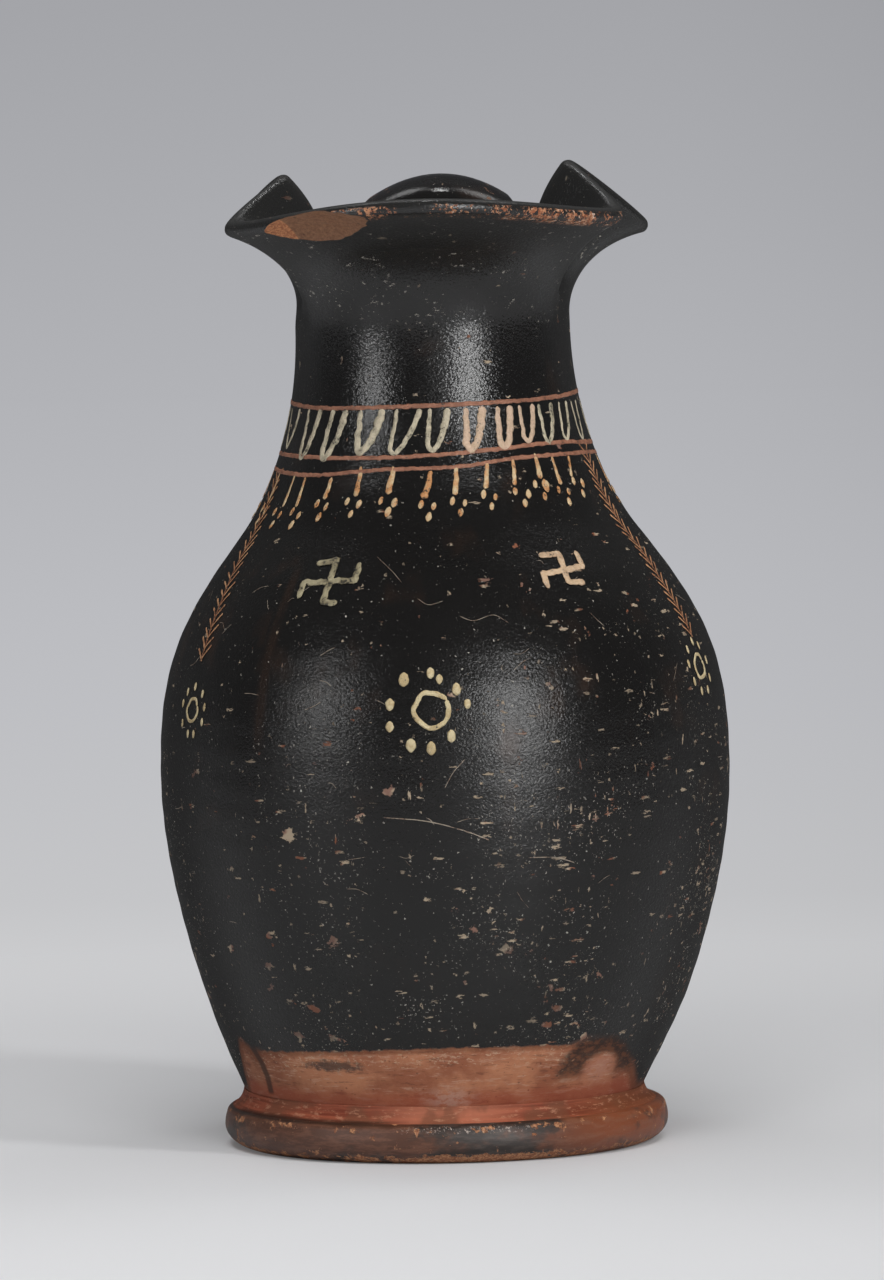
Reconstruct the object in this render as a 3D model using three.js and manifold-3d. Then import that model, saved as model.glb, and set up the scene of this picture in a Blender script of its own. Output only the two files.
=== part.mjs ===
// A trefoil-mouthed wine jug (oinochoe) of thin black-glazed clay, in millimetres, +Z up, spout towards -Y.
//
// It is made as the potter made it: the foot, the body, the neck with its mouth and the strap handle are
// separate pieces of clay, luted together with slip and small coils of clay before firing.
// Every ring of the wall is placed on an axis that leans a little, because the real jug stands askew.

import * as THREE from "three";
import { LoftGeometry } from "three/addons/geometries/LoftGeometry.js";
import { mergeVertices } from "three/addons/utils/BufferGeometryUtils.js";
import Module from "manifold-3d";

const wasm = await Module();
wasm.setup();

// Overall sizes
const footHeight = 8;
const slipGap = 0.3; // the layer of slip between two pieces of clay
const baseHeight = footHeight + slipGap; // underside of the body
const neckJointHeight = 136; // where the neck was luted to the body
const throatHeight = 163.5; // narrowest place of the neck
const axisX = -1.4; // the jug's axis in the part's frame, which is centred on its bounding box
const axisY = -5.1;

// Wall thicknesses
const bodyWall = 4.6;
const jointWall = 4.2;
const lipWall = 3.2;
const floorThickness = 5;

// Facets
const bodySlices = 60;
const mouthSlices = 80;
const footSlices = 60;
const strapFacets = 20;

const rad = THREE.MathUtils.degToRad;
const mix = THREE.MathUtils.lerp;
const smooth = THREE.MathUtils.smoothstep;

// Outer wall of the body and neck: height, radius, and how fast the radius grows with height.
const wallStations = [
  { height: baseHeight, radius: 38.6, slope: 0.52 },
  { height: 40, radius: 51.6, slope: 0.28 },
  { height: 74.5, radius: 57.2, slope: 0 },
  { height: 103, radius: 52.4, slope: -0.45 },
  { height: 121, radius: 41.0, slope: -0.77 },
  { height: neckJointHeight, radius: 32.5, slope: -0.38 },
  { height: throatHeight, radius: 27.5, slope: 0 },
];

// The axis leans right above the foot and comes back to the left towards the neck, in degrees.
const leanStations = [
  { height: baseHeight, lean: 0 },
  { height: 30, lean: 2.2 },
  { height: 96, lean: -0.7 },
];

// Linear between the stations, constant past the last one.
function leanAt(height) {
  const next = leanStations.findIndex((station) => station.height > height);
  if (next === 0) return rad(leanStations[0].lean);
  if (next < 0) return rad(leanStations.at(-1).lean);
  const low = leanStations[next - 1];
  const high = leanStations[next];
  const share = (height - low.height) / (high.height - low.height);
  return rad(mix(low.lean, high.lean, share));
}

// How far the axis has moved sideways at a height.
function driftAt(height) {
  const steps = 40;
  let drift = 0;
  for (let i = 0; i < steps; i++) drift += (Math.sin(leanAt((height * (i + 0.5)) / steps)) * height) / steps;
  return drift;
}

// Cubic Hermite curve through the wall's stations.
function wallAt(height) {
  let i = 0;
  while (i < wallStations.length - 2 && wallStations[i + 1].height < height) i++;
  const low = wallStations[i];
  const high = wallStations[i + 1];
  const span = high.height - low.height;
  const t = (height - low.height) / span;
  const radius =
    (2 * t ** 3 - 3 * t ** 2 + 1) * low.radius +
    (t ** 3 - 2 * t ** 2 + t) * span * low.slope +
    (3 * t ** 2 - 2 * t ** 3) * high.radius +
    (t ** 3 - t ** 2) * span * high.slope;
  const slope =
    ((6 * t ** 2 - 6 * t) * (low.radius - high.radius)) / span +
    (3 * t ** 2 - 4 * t + 1) * low.slope +
    (3 * t ** 2 - 2 * t) * high.slope;
  return { radius, slope };
}

// A point at an angle from the spout (counter-clockwise seen from above), set on the leaning axis.
function onAxis(angle, radius, height) {
  const lean = leanAt(height);
  const x = radius * Math.sin(angle);
  return new THREE.Vector3(
    driftAt(height) + x * Math.cos(lean),
    -radius * Math.cos(angle),
    height - x * Math.sin(lean),
  );
}

function ring(slices, pointAt) {
  return Array.from({ length: slices }, (_, i) => pointAt((i / slices) * 2 * Math.PI));
}

// Rings through a list of [radius, height], which turns a profile into a wall.
function revolved(profile, slices, options) {
  const rings = profile.map(([radius, height]) => ring(slices, (angle) => onAxis(angle, radius, height)));
  return new LoftGeometry(rings, options);
}

// The same, for a profile that closes on itself.
function revolvedLoop(profile, slices) {
  return revolved([...profile, profile[0]], slices);
}

function range(from, to, steps) {
  return Array.from({ length: steps + 1 }, (_, i) => mix(from, to, i / steps));
}

// Solids for cutting one piece to its neighbour

function solidOf(geometry) {
  const bare = new THREE.BufferGeometry();
  bare.setAttribute("position", geometry.getAttribute("position"));
  bare.setIndex(geometry.index);
  const merged = mergeVertices(bare, 1e-4);
  return new wasm.Manifold(
    new wasm.Mesh({
      numProp: 3,
      vertProperties: merged.attributes.position.array,
      triVerts: new Uint32Array(merged.index.array),
    }),
  );
}

function geometryOf(solid) {
  const mesh = solid.getMesh();
  const geometry = new THREE.BufferGeometry();
  geometry.setAttribute("position", new THREE.BufferAttribute(mesh.vertProperties, 3));
  geometry.setIndex(new THREE.BufferAttribute(mesh.triVerts, 1));
  geometry.computeVertexNormals();
  return geometry;
}

function largestOf(solid) {
  return solid.decompose().reduce((best, piece) => (piece.volume() > best.volume() ? piece : best));
}

// Foot: a thrown ring with a rolled edge, hollow underneath

const foot = {
  restingInner: 33.5,
  restingOuter: 40.6,
  bulge: 45.2, // the curve's handles reach out to here, the roll itself to 44.5
  edge: { radius: 44.4, height: 6.4 }, // where the roll turns over into its top
  topEdge: 42.8,
  seatInner: 29.5,
  offCentre: 0.4, // it was luted on a little to the right
};

function footGeometry() {
  const edge = new THREE.Vector2(foot.edge.radius, foot.edge.height);
  const roll = new THREE.CubicBezierCurve(
    new THREE.Vector2(foot.restingOuter, 0),
    new THREE.Vector2(foot.bulge - 0.4, 1.2),
    new THREE.Vector2(foot.bulge, 3.8),
    edge,
  );
  const over = new THREE.QuadraticBezierCurve(
    edge,
    new THREE.Vector2(foot.edge.radius - 0.3, footHeight - 0.4),
    new THREE.Vector2(foot.topEdge, footHeight),
  );
  const inside = new THREE.QuadraticBezierCurve(
    new THREE.Vector2(foot.seatInner, footHeight),
    new THREE.Vector2(foot.seatInner + 0.8, 2.5),
    new THREE.Vector2(foot.restingInner, 0),
  );
  const outside = [...roll.getPoints(6), ...over.getPoints(3).slice(1)];
  const profile = [...outside, ...inside.getPoints(4)].map((point) => [point.x, point.y]);
  return revolvedLoop(profile, footSlices).translate(foot.offCentre, 0, 0);
}

// Coil of clay smoothed into the corner between the body and the top of the foot

const footCoil = { top: 11.2, reach: 42.5, hollow: 0.5 };

function footCoilGeometry() {
  const wall = (height) => wallAt(height).radius + slipGap;
  const face = new THREE.QuadraticBezierCurve(
    new THREE.Vector2(footCoil.reach, baseHeight),
    new THREE.Vector2(wall(footCoil.top) + footCoil.hollow, baseHeight + 0.6),
    new THREE.Vector2(wall(footCoil.top) + 0.2, footCoil.top),
  );
  const back = range(footCoil.top, baseHeight, 2).map((height) => [wall(height), height]);
  return revolvedLoop([...face.getPoints(5).map((point) => [point.x, point.y]), ...back], footSlices);
}

// Body: the thrown belly and shoulder with their floor, up to the joint with the neck

const floorEdge = 30; // radius where the inner floor starts to curve up into the wall
const floorCurveTop = 24;

function innerWall(height) {
  const { radius, slope } = wallAt(height);
  const thickness = THREE.MathUtils.mapLinear(height, baseHeight, neckJointHeight, bodyWall, jointWall);
  return radius - thickness * Math.hypot(1, slope);
}

function bodyGeometry() {
  const outside = range(baseHeight, neckJointHeight, 16).map((height) => [wallAt(height).radius, height]);
  const inside = range(neckJointHeight, floorCurveTop, 9).map((height) => [innerWall(height), height]);
  const floorHeight = baseHeight + floorThickness;
  const corner = new THREE.QuadraticBezierCurve(
    new THREE.Vector2(innerWall(floorCurveTop), floorCurveTop),
    new THREE.Vector2(innerWall(floorHeight), floorHeight + 0.5),
    new THREE.Vector2(floorEdge, floorHeight),
  );
  const floor = corner.getPoints(4).slice(1);
  const inner = [...inside, ...floor.map((point) => [point.x, point.y])];
  return revolved([[0, baseHeight], ...outside, ...inner, [0, floorHeight]], bodySlices);
}

// The body as a filled shape, a little larger, for cutting the handle to it.
function bodyEnvelope() {
  const profile = range(60, neckJointHeight + 24, 22).map((height) => {
    const { radius, slope } = wallAt(height);
    return [radius + slipGap * Math.hypot(1, slope), height];
  });
  return solidOf(revolved(profile, bodySlices, { capStart: true, capEnd: true }));
}

// Neck and mouth: one thrown collar. Its flared lip is pinched at both sides into a spout and two side lobes.
// The middle of the wall follows a cubic curve from the throat to the rim, which changes round the mouth.
// Each station gives its angle from the spout and the curve's points after the throat: how high the first
// one stands straight above it, then two as radius and height above the throat. The jug was pinched by
// hand, so left and right differ.

const lobe = { near: 7, turn: [30, 16] };
const pinch = { near: 7, turn: [17.5, 17] };
const back = { near: 8, turn: [30.5, 17.5], rim: [41, 21.2] };
const mouthStations = [
  { angle: -180, ...back },
  { angle: -113, ...lobe, rim: [40.7, 19.4] },
  { angle: -75.5, ...pinch, rim: [29.4, 30] },
  { angle: -57.5, ...lobe, rim: [44.5, 21] },
  { angle: 0, near: 8, turn: [31.5, 20], rim: [50.7, 25] },
  { angle: 61, ...lobe, rim: [43, 21.5] },
  { angle: 78.5, ...pinch, rim: [28.8, 31.5] },
  { angle: 104, ...lobe, rim: [43, 18.8] },
  { angle: 180, ...back },
];

function mouthCurveAt(angle) {
  const fromSpout = THREE.MathUtils.radToDeg(Math.atan2(Math.sin(angle), Math.cos(angle)));
  const next = mouthStations.findIndex((station) => station.angle >= fromSpout);
  const after = mouthStations[Math.max(next, 1)];
  const before = mouthStations[Math.max(next, 1) - 1];
  const share = smooth(fromSpout, before.angle, after.angle);
  const point = (name) => new THREE.Vector2(...before[name]).lerp(new THREE.Vector2(...after[name]), share);
  const throat = new THREE.Vector2(wallAt(throatHeight).radius - lipWall / 2, 0);
  const near = throat.clone().setY(mix(before.near, after.near, share));
  return new THREE.CubicBezierCurve(throat, near, point("turn"), point("rim"));
}

// Middle of the wall: share runs from -1 at the joint through 0 at the throat to 1 at the rim.
function middleOfWall(angle, share) {
  if (share <= 0) {
    const height = mix(throatHeight, neckJointHeight + slipGap, -share);
    return onAxis(angle, wallAt(height).radius - thicknessAt(share) / 2, height);
  }
  const { x: radius, y: rise } = mouthCurveAt(angle).getPoint(share);
  return onAxis(angle, radius, throatHeight + rise);
}

function thicknessAt(share) {
  const { slope } = wallAt(neckJointHeight);
  return mix(lipWall, jointWall * Math.hypot(1, slope), Math.max(-share, 0));
}

// Directions out of the wall and along it at a point: square to the axis up to the throat, and in the flare
// taken from the point's neighbours.
function wallDirections(angle, share) {
  const step = 0.004;
  const round = middleOfWall(angle + step, share).sub(middleOfWall(angle - step, share));
  const along = middleOfWall(angle, Math.min(share + step, 1)).sub(middleOfWall(angle, share - step));
  const out = round.clone().cross(along).normalize();
  if (share <= 0) out.subVectors(onAxis(angle, 1, throatHeight), onAxis(angle, 0, throatHeight));
  return { out, along: along.normalize() };
}

function neckAndMouthGeometry(grow = 0) {
  const shares = [...range(-1, 0, 4), ...range(0, 1, 8).slice(1)];
  const skin = (share, side) =>
    ring(mouthSlices, (angle) => {
      const { out } = wallDirections(angle, share);
      return middleOfWall(angle, share).addScaledVector(out, side * (thicknessAt(share) / 2 + grow));
    });
  const lip = range(90, -90, 4)
    .slice(1, -1)
    .map((turn) =>
      ring(mouthSlices, (angle) => {
        const { out, along } = wallDirections(angle, 1);
        const half = lipWall / 2 + grow;
        return middleOfWall(angle, 1)
          .addScaledVector(out, half * Math.sin(rad(turn)))
          .addScaledVector(along, half * Math.cos(rad(turn)));
      }),
    );
  const outside = shares.map((share) => skin(share, 1));
  const inside = [...shares].reverse().map((share) => skin(share, -1));
  return new LoftGeometry([...outside, ...lip, ...inside, outside[0]]);
}

// The old spall in the lip, left of the spout: a tilted scoop that takes the lip's edge and runs in under it.
const chip = { angle: -24, width: 33, length: 17, thickness: 7, tilt: 31, inward: 1.5, drop: 3.9 };

function chippedNeckAndMouth() {
  const scoop = new THREE.IcosahedronGeometry(0.5, 3).scale(chip.width, chip.length, chip.thickness);
  const place = middleOfWall(rad(chip.angle), 1);
  scoop.rotateX(rad(-chip.tilt)).translate(0, chip.inward, -chip.drop);
  scoop.rotateZ(rad(chip.angle)).translate(place.x, place.y, place.z);
  return largestOf(solidOf(neckAndMouthGeometry()).subtract(solidOf(scoop)));
}

// Coil of clay pressed round the inside of the joint between the body and the neck

const neckCoil = { reach: 5.5, bulge: 2.2 };

function neckCoilGeometry() {
  const wall = (height) => {
    const { radius, slope } = wallAt(height);
    return radius - (jointWall + slipGap) * Math.hypot(1, slope);
  };
  const heights = range(neckJointHeight - neckCoil.reach, neckJointHeight + neckCoil.reach, 4);
  const face = heights.map((height) => {
    const share = (height - neckJointHeight) / neckCoil.reach;
    return [wall(height) - 0.25 - neckCoil.bulge * (1 - share ** 2), height];
  });
  const back = [heights.at(0), neckJointHeight, heights.at(-1)].map((height) => [wall(height), height]);
  return revolvedLoop([...back, ...face.reverse()], footSlices);
}

// Handle: a pulled strap from the back of the lip to the shoulder

const handlePath = new THREE.CatmullRomCurve3(
  [
    [35.6, 184.4],
    [40, 187],
    [46, 188.8],
    [54.2, 186.6],
    [61.2, 177.5],
    [64, 162],
    [61.5, 144],
    [55.5, 127],
    [42, 105],
  ].map(([y, z]) => new THREE.Vector3(0, y, z)),
);
// Half width, outward and inward bulge of the strap along it, and how ridged its outer side is: 1 is an ellipse.
const strapStations = [
  { at: 0, half: 15.4, outer: 4, inner: 2.6, ridge: 2.6 },
  { at: 0.12, half: 13.4, outer: 4.1, inner: 3, ridge: 1.9 },
  { at: 0.36, half: 9.3, outer: 3.3, inner: 2.4, ridge: 1 },
  { at: 0.6, half: 8.4, outer: 3, inner: 2.2, ridge: 1 },
  { at: 0.85, half: 9.4, outer: 3.3, inner: 2.6, ridge: 1 },
  { at: 1, half: 13, outer: 5, inner: 4.6, ridge: 1 },
];

const roundedTo = 0.05; // the strap's upper end, on the lip, is rounded off up to here

function strapAt(at) {
  const next = Math.max(1, strapStations.findIndex((station) => station.at >= at));
  const low = strapStations[next - 1];
  const high = strapStations[next];
  const share = smooth(at, low.at, high.at);
  const between = (name) => mix(low[name], high[name], share);
  const fullness = Math.sqrt(1 - (1 - Math.min(at / roundedTo, 1)) ** 2);
  return {
    half: between("half") * mix(0.78, 1, fullness),
    outer: between("outer") * mix(0.2, 1, fullness),
    inner: between("inner") * mix(0.2, 1, fullness),
    ridge: between("ridge"),
  };
}

function strapGeometry(places, growAt = () => 0) {
  const sideways = new THREE.Vector3(1, 0, 0);
  const sections = places.map((at) => {
    const inward = handlePath.getTangentAt(at).cross(sideways);
    const centre = handlePath.getPointAt(at);
    const { half, outer, inner, ridge } = strapAt(at);
    const grow = growAt(at);
    return ring(strapFacets, (angle) => {
      const depth = Math.sin(angle);
      const rise = depth > 0 ? (inner + grow) * depth : -(outer + grow) * (-depth) ** ridge;
      return centre
        .clone()
        .addScaledVector(sideways, (half + grow) * Math.cos(angle))
        .addScaledVector(inward, rise);
    });
  });
  return new LoftGeometry(sections, { capStart: true, capEnd: true });
}

const strapPlaces = [0, 0.006, 0.016, 0.03, ...range(roundedTo, 1, 20)];

// Cuts a piece of the handle to the wall and the lip that it is luted to.
function fittedToJug(solid) {
  return largestOf(solid.subtract(bodyEnvelope()).subtract(solidOf(neckAndMouthGeometry(slipGap))));
}

// Coil smoothed round an end of the strap: a thicker length of it, hollowed to fit over the strap.
function rootCoil(from, to, thicknessAlong) {
  const coil = solidOf(strapGeometry(range(from, to, 8), thicknessAlong));
  const strap = solidOf(strapGeometry(strapPlaces, () => slipGap));
  return fittedToJug(coil.subtract(strap));
}

// Build the jug

const glaze = { color: 0x1c1b19, roughness: 0.35, metalness: 0 };
const bareClay = { color: 0x9a5c41, roughness: 0.8, metalness: 0 };

const jug = new THREE.Group();
jug.position.set(axisX, axisY, 0);

function add(name, geometry, finish) {
  const mesh = new THREE.Mesh(geometry, new THREE.MeshStandardMaterial(finish));
  mesh.name = name;
  jug.add(mesh);
}

add("foot", footGeometry(), bareClay);
add("foot_luting_coil", footCoilGeometry(), bareClay);
add("body", bodyGeometry(), glaze);
add("neck_luting_coil", neckCoilGeometry(), glaze);
add("neck_and_mouth", geometryOf(chippedNeckAndMouth()), glaze);
add("handle", geometryOf(fittedToJug(solidOf(strapGeometry(strapPlaces)))), glaze);
add("handle_lower_coil", geometryOf(rootCoil(0.86, 1, (at) => 0.5 + 3 * smooth(at, 0.86, 1))), glaze);
add("handle_upper_coil", geometryOf(rootCoil(0.008, 0.12, (at) => 1.1 - 0.6 * smooth(at, 0.02, 0.12))), glaze);

export default jug;
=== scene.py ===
import math
import random

import bpy
from mathutils import Matrix, Vector, noise


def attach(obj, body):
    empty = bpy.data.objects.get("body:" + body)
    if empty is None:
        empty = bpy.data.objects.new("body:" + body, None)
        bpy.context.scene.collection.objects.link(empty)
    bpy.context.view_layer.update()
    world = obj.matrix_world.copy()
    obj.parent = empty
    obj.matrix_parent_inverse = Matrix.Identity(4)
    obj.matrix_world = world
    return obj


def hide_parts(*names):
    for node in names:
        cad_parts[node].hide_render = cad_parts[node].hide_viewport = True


# A black-glazed clay wine jug with a pinched trefoil mouth, a strap handle and worn painted ornament.
# Sizes are in millimetres and angles in degrees, counted from the spout round to the right.

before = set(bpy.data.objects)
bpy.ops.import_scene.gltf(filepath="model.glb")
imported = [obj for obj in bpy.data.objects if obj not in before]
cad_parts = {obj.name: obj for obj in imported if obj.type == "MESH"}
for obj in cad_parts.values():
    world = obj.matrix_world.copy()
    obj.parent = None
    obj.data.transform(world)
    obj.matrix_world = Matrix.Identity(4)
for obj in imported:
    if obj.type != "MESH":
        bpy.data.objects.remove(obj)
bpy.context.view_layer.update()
mm = 0.001

jug = {
    "axis": (-1.4, -5.1),       # where the jug's axis stands in the CAD frame
    "base": 8.3,                # underside of the body
    "joint": 136,               # where the neck was luted to the body
    "throat": 163.5,            # narrowest place of the neck
    # Outer wall of body and neck: height, radius and slope
    "wall": [(8.3, 38.6, 0.52), (40, 51.6, 0.28), (74.5, 57.2, 0), (103, 52.4, -0.45),
             (121, 41.0, -0.77), (136, 32.5, -0.38), (163.5, 27.5, 0)],
    # The axis leans right above the foot and back to the left towards the neck: height and degrees
    "lean": [(0, 0), (8.3, 0), (30, 2.2), (96, -0.7), (300, -0.7)],
}


def between(low, high, share):
    return low + (high - low) * share


def eased(low, high, value):
    share = min(max((value - low) / (high - low), 0), 1)
    return share * share * (3 - 2 * share)


def stretchOf(stations, value):
    # The two neighbouring stations that a value lies between
    i = 0
    while i < len(stations) - 2 and stations[i + 1][0] < value:
        i += 1
    return stations[i], stations[i + 1]


def hermite(t, start, leave, end, reach):
    # On a curve from start to end, with the slopes leave and reach at its ends
    return ((2 * t**3 - 3 * t**2 + 1) * start + (t**3 - 2 * t**2 + t) * leave
            + (3 * t**2 - 2 * t**3) * end + (t**3 - t**2) * reach)


def leanAt(height):
    (low, lowLean), (high, highLean) = stretchOf(jug["lean"], height)
    return math.radians(between(lowLean, highLean, (height - low) / (high - low)))


def driftAt(height):
    # How far the leaning axis has moved sideways, summed stretch by stretch
    drift = 0
    for (low, lowLean), (high, highLean) in zip(jug["lean"], jug["lean"][1:]):
        reach = min(height, high) - low
        if reach > 0:
            drift += reach * math.sin(math.radians(between(lowLean, highLean, reach / (high - low) / 2)))
    return drift


def wallAt(height):
    # Radius and slope of the outer wall, on a smooth curve through its stations
    (low, lowRadius, lowSlope), (high, highRadius, highSlope) = stretchOf(jug["wall"], height)
    span = high - low
    t = (height - low) / span
    radius = hermite(t, lowRadius, span * lowSlope, highRadius, span * highSlope)
    slope = ((6 * t**2 - 6 * t) * (lowRadius - highRadius) / span
             + (3 * t**2 - 4 * t + 1) * lowSlope + (3 * t**2 - 2 * t) * highSlope)
    return radius, slope


def spanned(length, height):
    # The degrees that a length takes up round the wall at that height
    return math.degrees(length / wallAt(height)[0])


def onAxis(angle, radius, height):
    # A point of a ring set on the leaning axis, in millimetres
    lean = leanAt(height)
    x = radius * math.sin(angle)
    return Vector((driftAt(height) + x * math.cos(lean) + jug["axis"][0],
                   -radius * math.cos(angle) + jug["axis"][1],
                   height - x * math.sin(lean)))


def wallPoint(angle, height, lift=0):
    # A point on the outer wall, or lifted off it
    radius, slope = wallAt(height)
    across = math.hypot(1, slope)
    return onAxis(math.radians(angle), radius + lift / across, height - lift * slope / across)


# Ways of working

def selectOnly(piece):
    bpy.ops.object.select_all(action="DESELECT")
    piece.select_set(True)
    bpy.context.view_layer.objects.active = piece


def newPiece(name):
    piece = bpy.context.object
    piece.name = piece.data.name = name
    return piece


def spun(name, profile, slices):
    # A profile of radii and heights is drawn point by point, then spun round the upright axis
    bpy.ops.object.select_all(action="DESELECT")
    bpy.ops.mesh.primitive_plane_add(size=mm)
    piece = newPiece(name)
    bpy.ops.object.mode_set(mode="EDIT")
    bpy.ops.mesh.merge(type="CENTER")
    points = [Vector((radius * mm, 0, height * mm)) for radius, height in profile]
    bpy.ops.transform.translate(value=points[0])
    for before, after in zip(points, points[1:]):
        bpy.ops.mesh.extrude_region_move(TRANSFORM_OT_translate={"value": after - before})
    bpy.ops.mesh.select_all(action="SELECT")
    bpy.ops.mesh.spin(steps=slices, angle=math.tau, center=(0, 0, 0), axis=(0, 0, 1))
    tidyMesh()
    return piece


def tidyMesh():
    # Closes seams and poles and turns the faces outwards, in edit mode
    bpy.ops.mesh.select_all(action="SELECT")
    bpy.ops.mesh.remove_doubles(threshold=0.002 * mm)
    bpy.ops.mesh.normals_make_consistent(inside=False)
    bpy.ops.object.mode_set(mode="OBJECT")


def reshaped(piece, move):
    # Moves each vertex; move takes and gives millimetres
    for vertex in piece.data.vertices:
        vertex.co = move(vertex.co / mm) * mm
    piece.data.update()
    return piece


def ringPlace(point):
    # Radius, angle from the spout and height of a point beside the upright axis
    return math.hypot(point.x, point.y), math.atan2(point.x, -point.y), point.z


def leaned(point):
    radius, angle, height = ringPlace(point)
    return onAxis(angle, radius, height)


def smoothed(piece, angle):
    selectOnly(piece)
    bpy.ops.object.shade_smooth_by_angle(angle=math.radians(angle))
    return piece


def thrown(name, profile, slices, move=leaned, angle=45):
    # A spun profile on the leaning axis, smooth but for the corners sharper than angle
    return smoothed(reshaped(spun(name, profile, slices), move), angle)


def dressed(piece, *finishes):
    piece.data.materials.clear()
    for finish in finishes:
        piece.data.materials.append(finish)


def cut(piece, cutter):
    # Takes one shape away from another and keeps the largest piece that is left
    selectOnly(piece)
    boolean = piece.modifiers.new("cut", "BOOLEAN")
    boolean.object = cutter
    boolean.operation = "DIFFERENCE"
    boolean.solver = "EXACT"
    boolean.material_mode = "TRANSFER"
    bpy.ops.object.modifier_apply(modifier=boolean.name)
    name = piece.name
    bpy.ops.mesh.separate(type="LOOSE")
    parts = sorted(bpy.context.selected_objects, key=lambda part: len(part.data.vertices))
    kept = parts.pop()
    for part in parts:
        bpy.data.objects.remove(part)
    kept.name = kept.data.name = name
    selectOnly(kept)
    return kept


def steps(low, high, count):
    return [between(low, high, i / count) for i in range(count + 1)]


def rolling(size, point, seed=0):
    # Smooth unevenness of a hand-made surface, -1 to 1, with lumps of the given size
    return noise.noise(point / size + Vector((seed, seed * 1.7, 0)))


# Finishes

class Wire:
    # A node's output; sums written with it add Math nodes
    def __init__(self, finish, socket):
        self.finish, self.socket = finish, socket

    def maths(self, operation, *values):
        return self.finish.node("ShaderNodeMath", {"operation": operation}, dict(enumerate(values)))

    def __add__(self, other):
        return self.maths("ADD", self, other)

    def __sub__(self, other):
        return self.maths("SUBTRACT", self, other)

    def __rsub__(self, other):
        return self.maths("SUBTRACT", other, self)

    def __mul__(self, other):
        return self.maths("MULTIPLY", self, other)

    __radd__ = __add__
    __rmul__ = __mul__

    def rise(self, low, high):
        # 0 at low, 1 at high, smooth between; high may be the smaller one
        settings = {"interpolation_type": "SMOOTHSTEP"}
        inputs = {"Value": self, "From Min": low, "From Max": high}
        return self.finish.node("ShaderNodeMapRange", settings, inputs)

    def band(self, middle, width, soft):
        # 1 near the middle value, 0 away from it
        return self.maths("ABSOLUTE", self - middle).rise(width + soft, width)

    def most(self, *others):
        highest = self
        for other in others:
            highest = self.maths("MAXIMUM", highest, other)
        return highest

    def power(self, exponent):
        return self.maths("POWER", self, exponent)

    def other(self, name):
        return Wire(self.finish, self.socket.node.outputs[name])


def tone(red, green, blue):
    # The renderer's own values for a colour as the eye reads it, 0 to 255
    parts = [c / 3294.6 if c < 10.3 else ((c / 255 + 0.055) / 1.055) ** 2.4 for c in (red, green, blue)]
    return (*parts, 1)


class Nodes:
    def __init__(self, owner):
        owner.use_nodes = True
        self.tree = owner.node_tree
        self.tree.nodes.clear()

    def node(self, kind, settings=None, inputs=None, out=0):
        made = self.tree.nodes.new(kind)
        for name, value in (settings or {}).items():
            if name == "stops":
                fillRamp(made.color_ramp, value)
            else:
                setattr(made, name, value)
        for name, value in (inputs or {}).items():
            if isinstance(value, Wire):
                self.tree.links.new(value.socket, made.inputs[name])
            else:
                made.inputs[name].default_value = value
        return Wire(self, made.outputs[out]) if made.outputs else made

    def mix(self, share, *colours):
        # A colour is a wire, or red, green and blue as the eye reads them
        first, second = [tone(*colour) if isinstance(colour, tuple) else colour for colour in colours]
        return self.node("ShaderNodeMix", {"data_type": "RGBA"}, {0: share, 6: first, 7: second}, out=2)

    def layered(self, colour, *layers):
        # Colours laid over the first one in turn, each as strongly as its share
        for share, laid in layers:
            colour = self.mix(share, colour, laid)
        return colour


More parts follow.
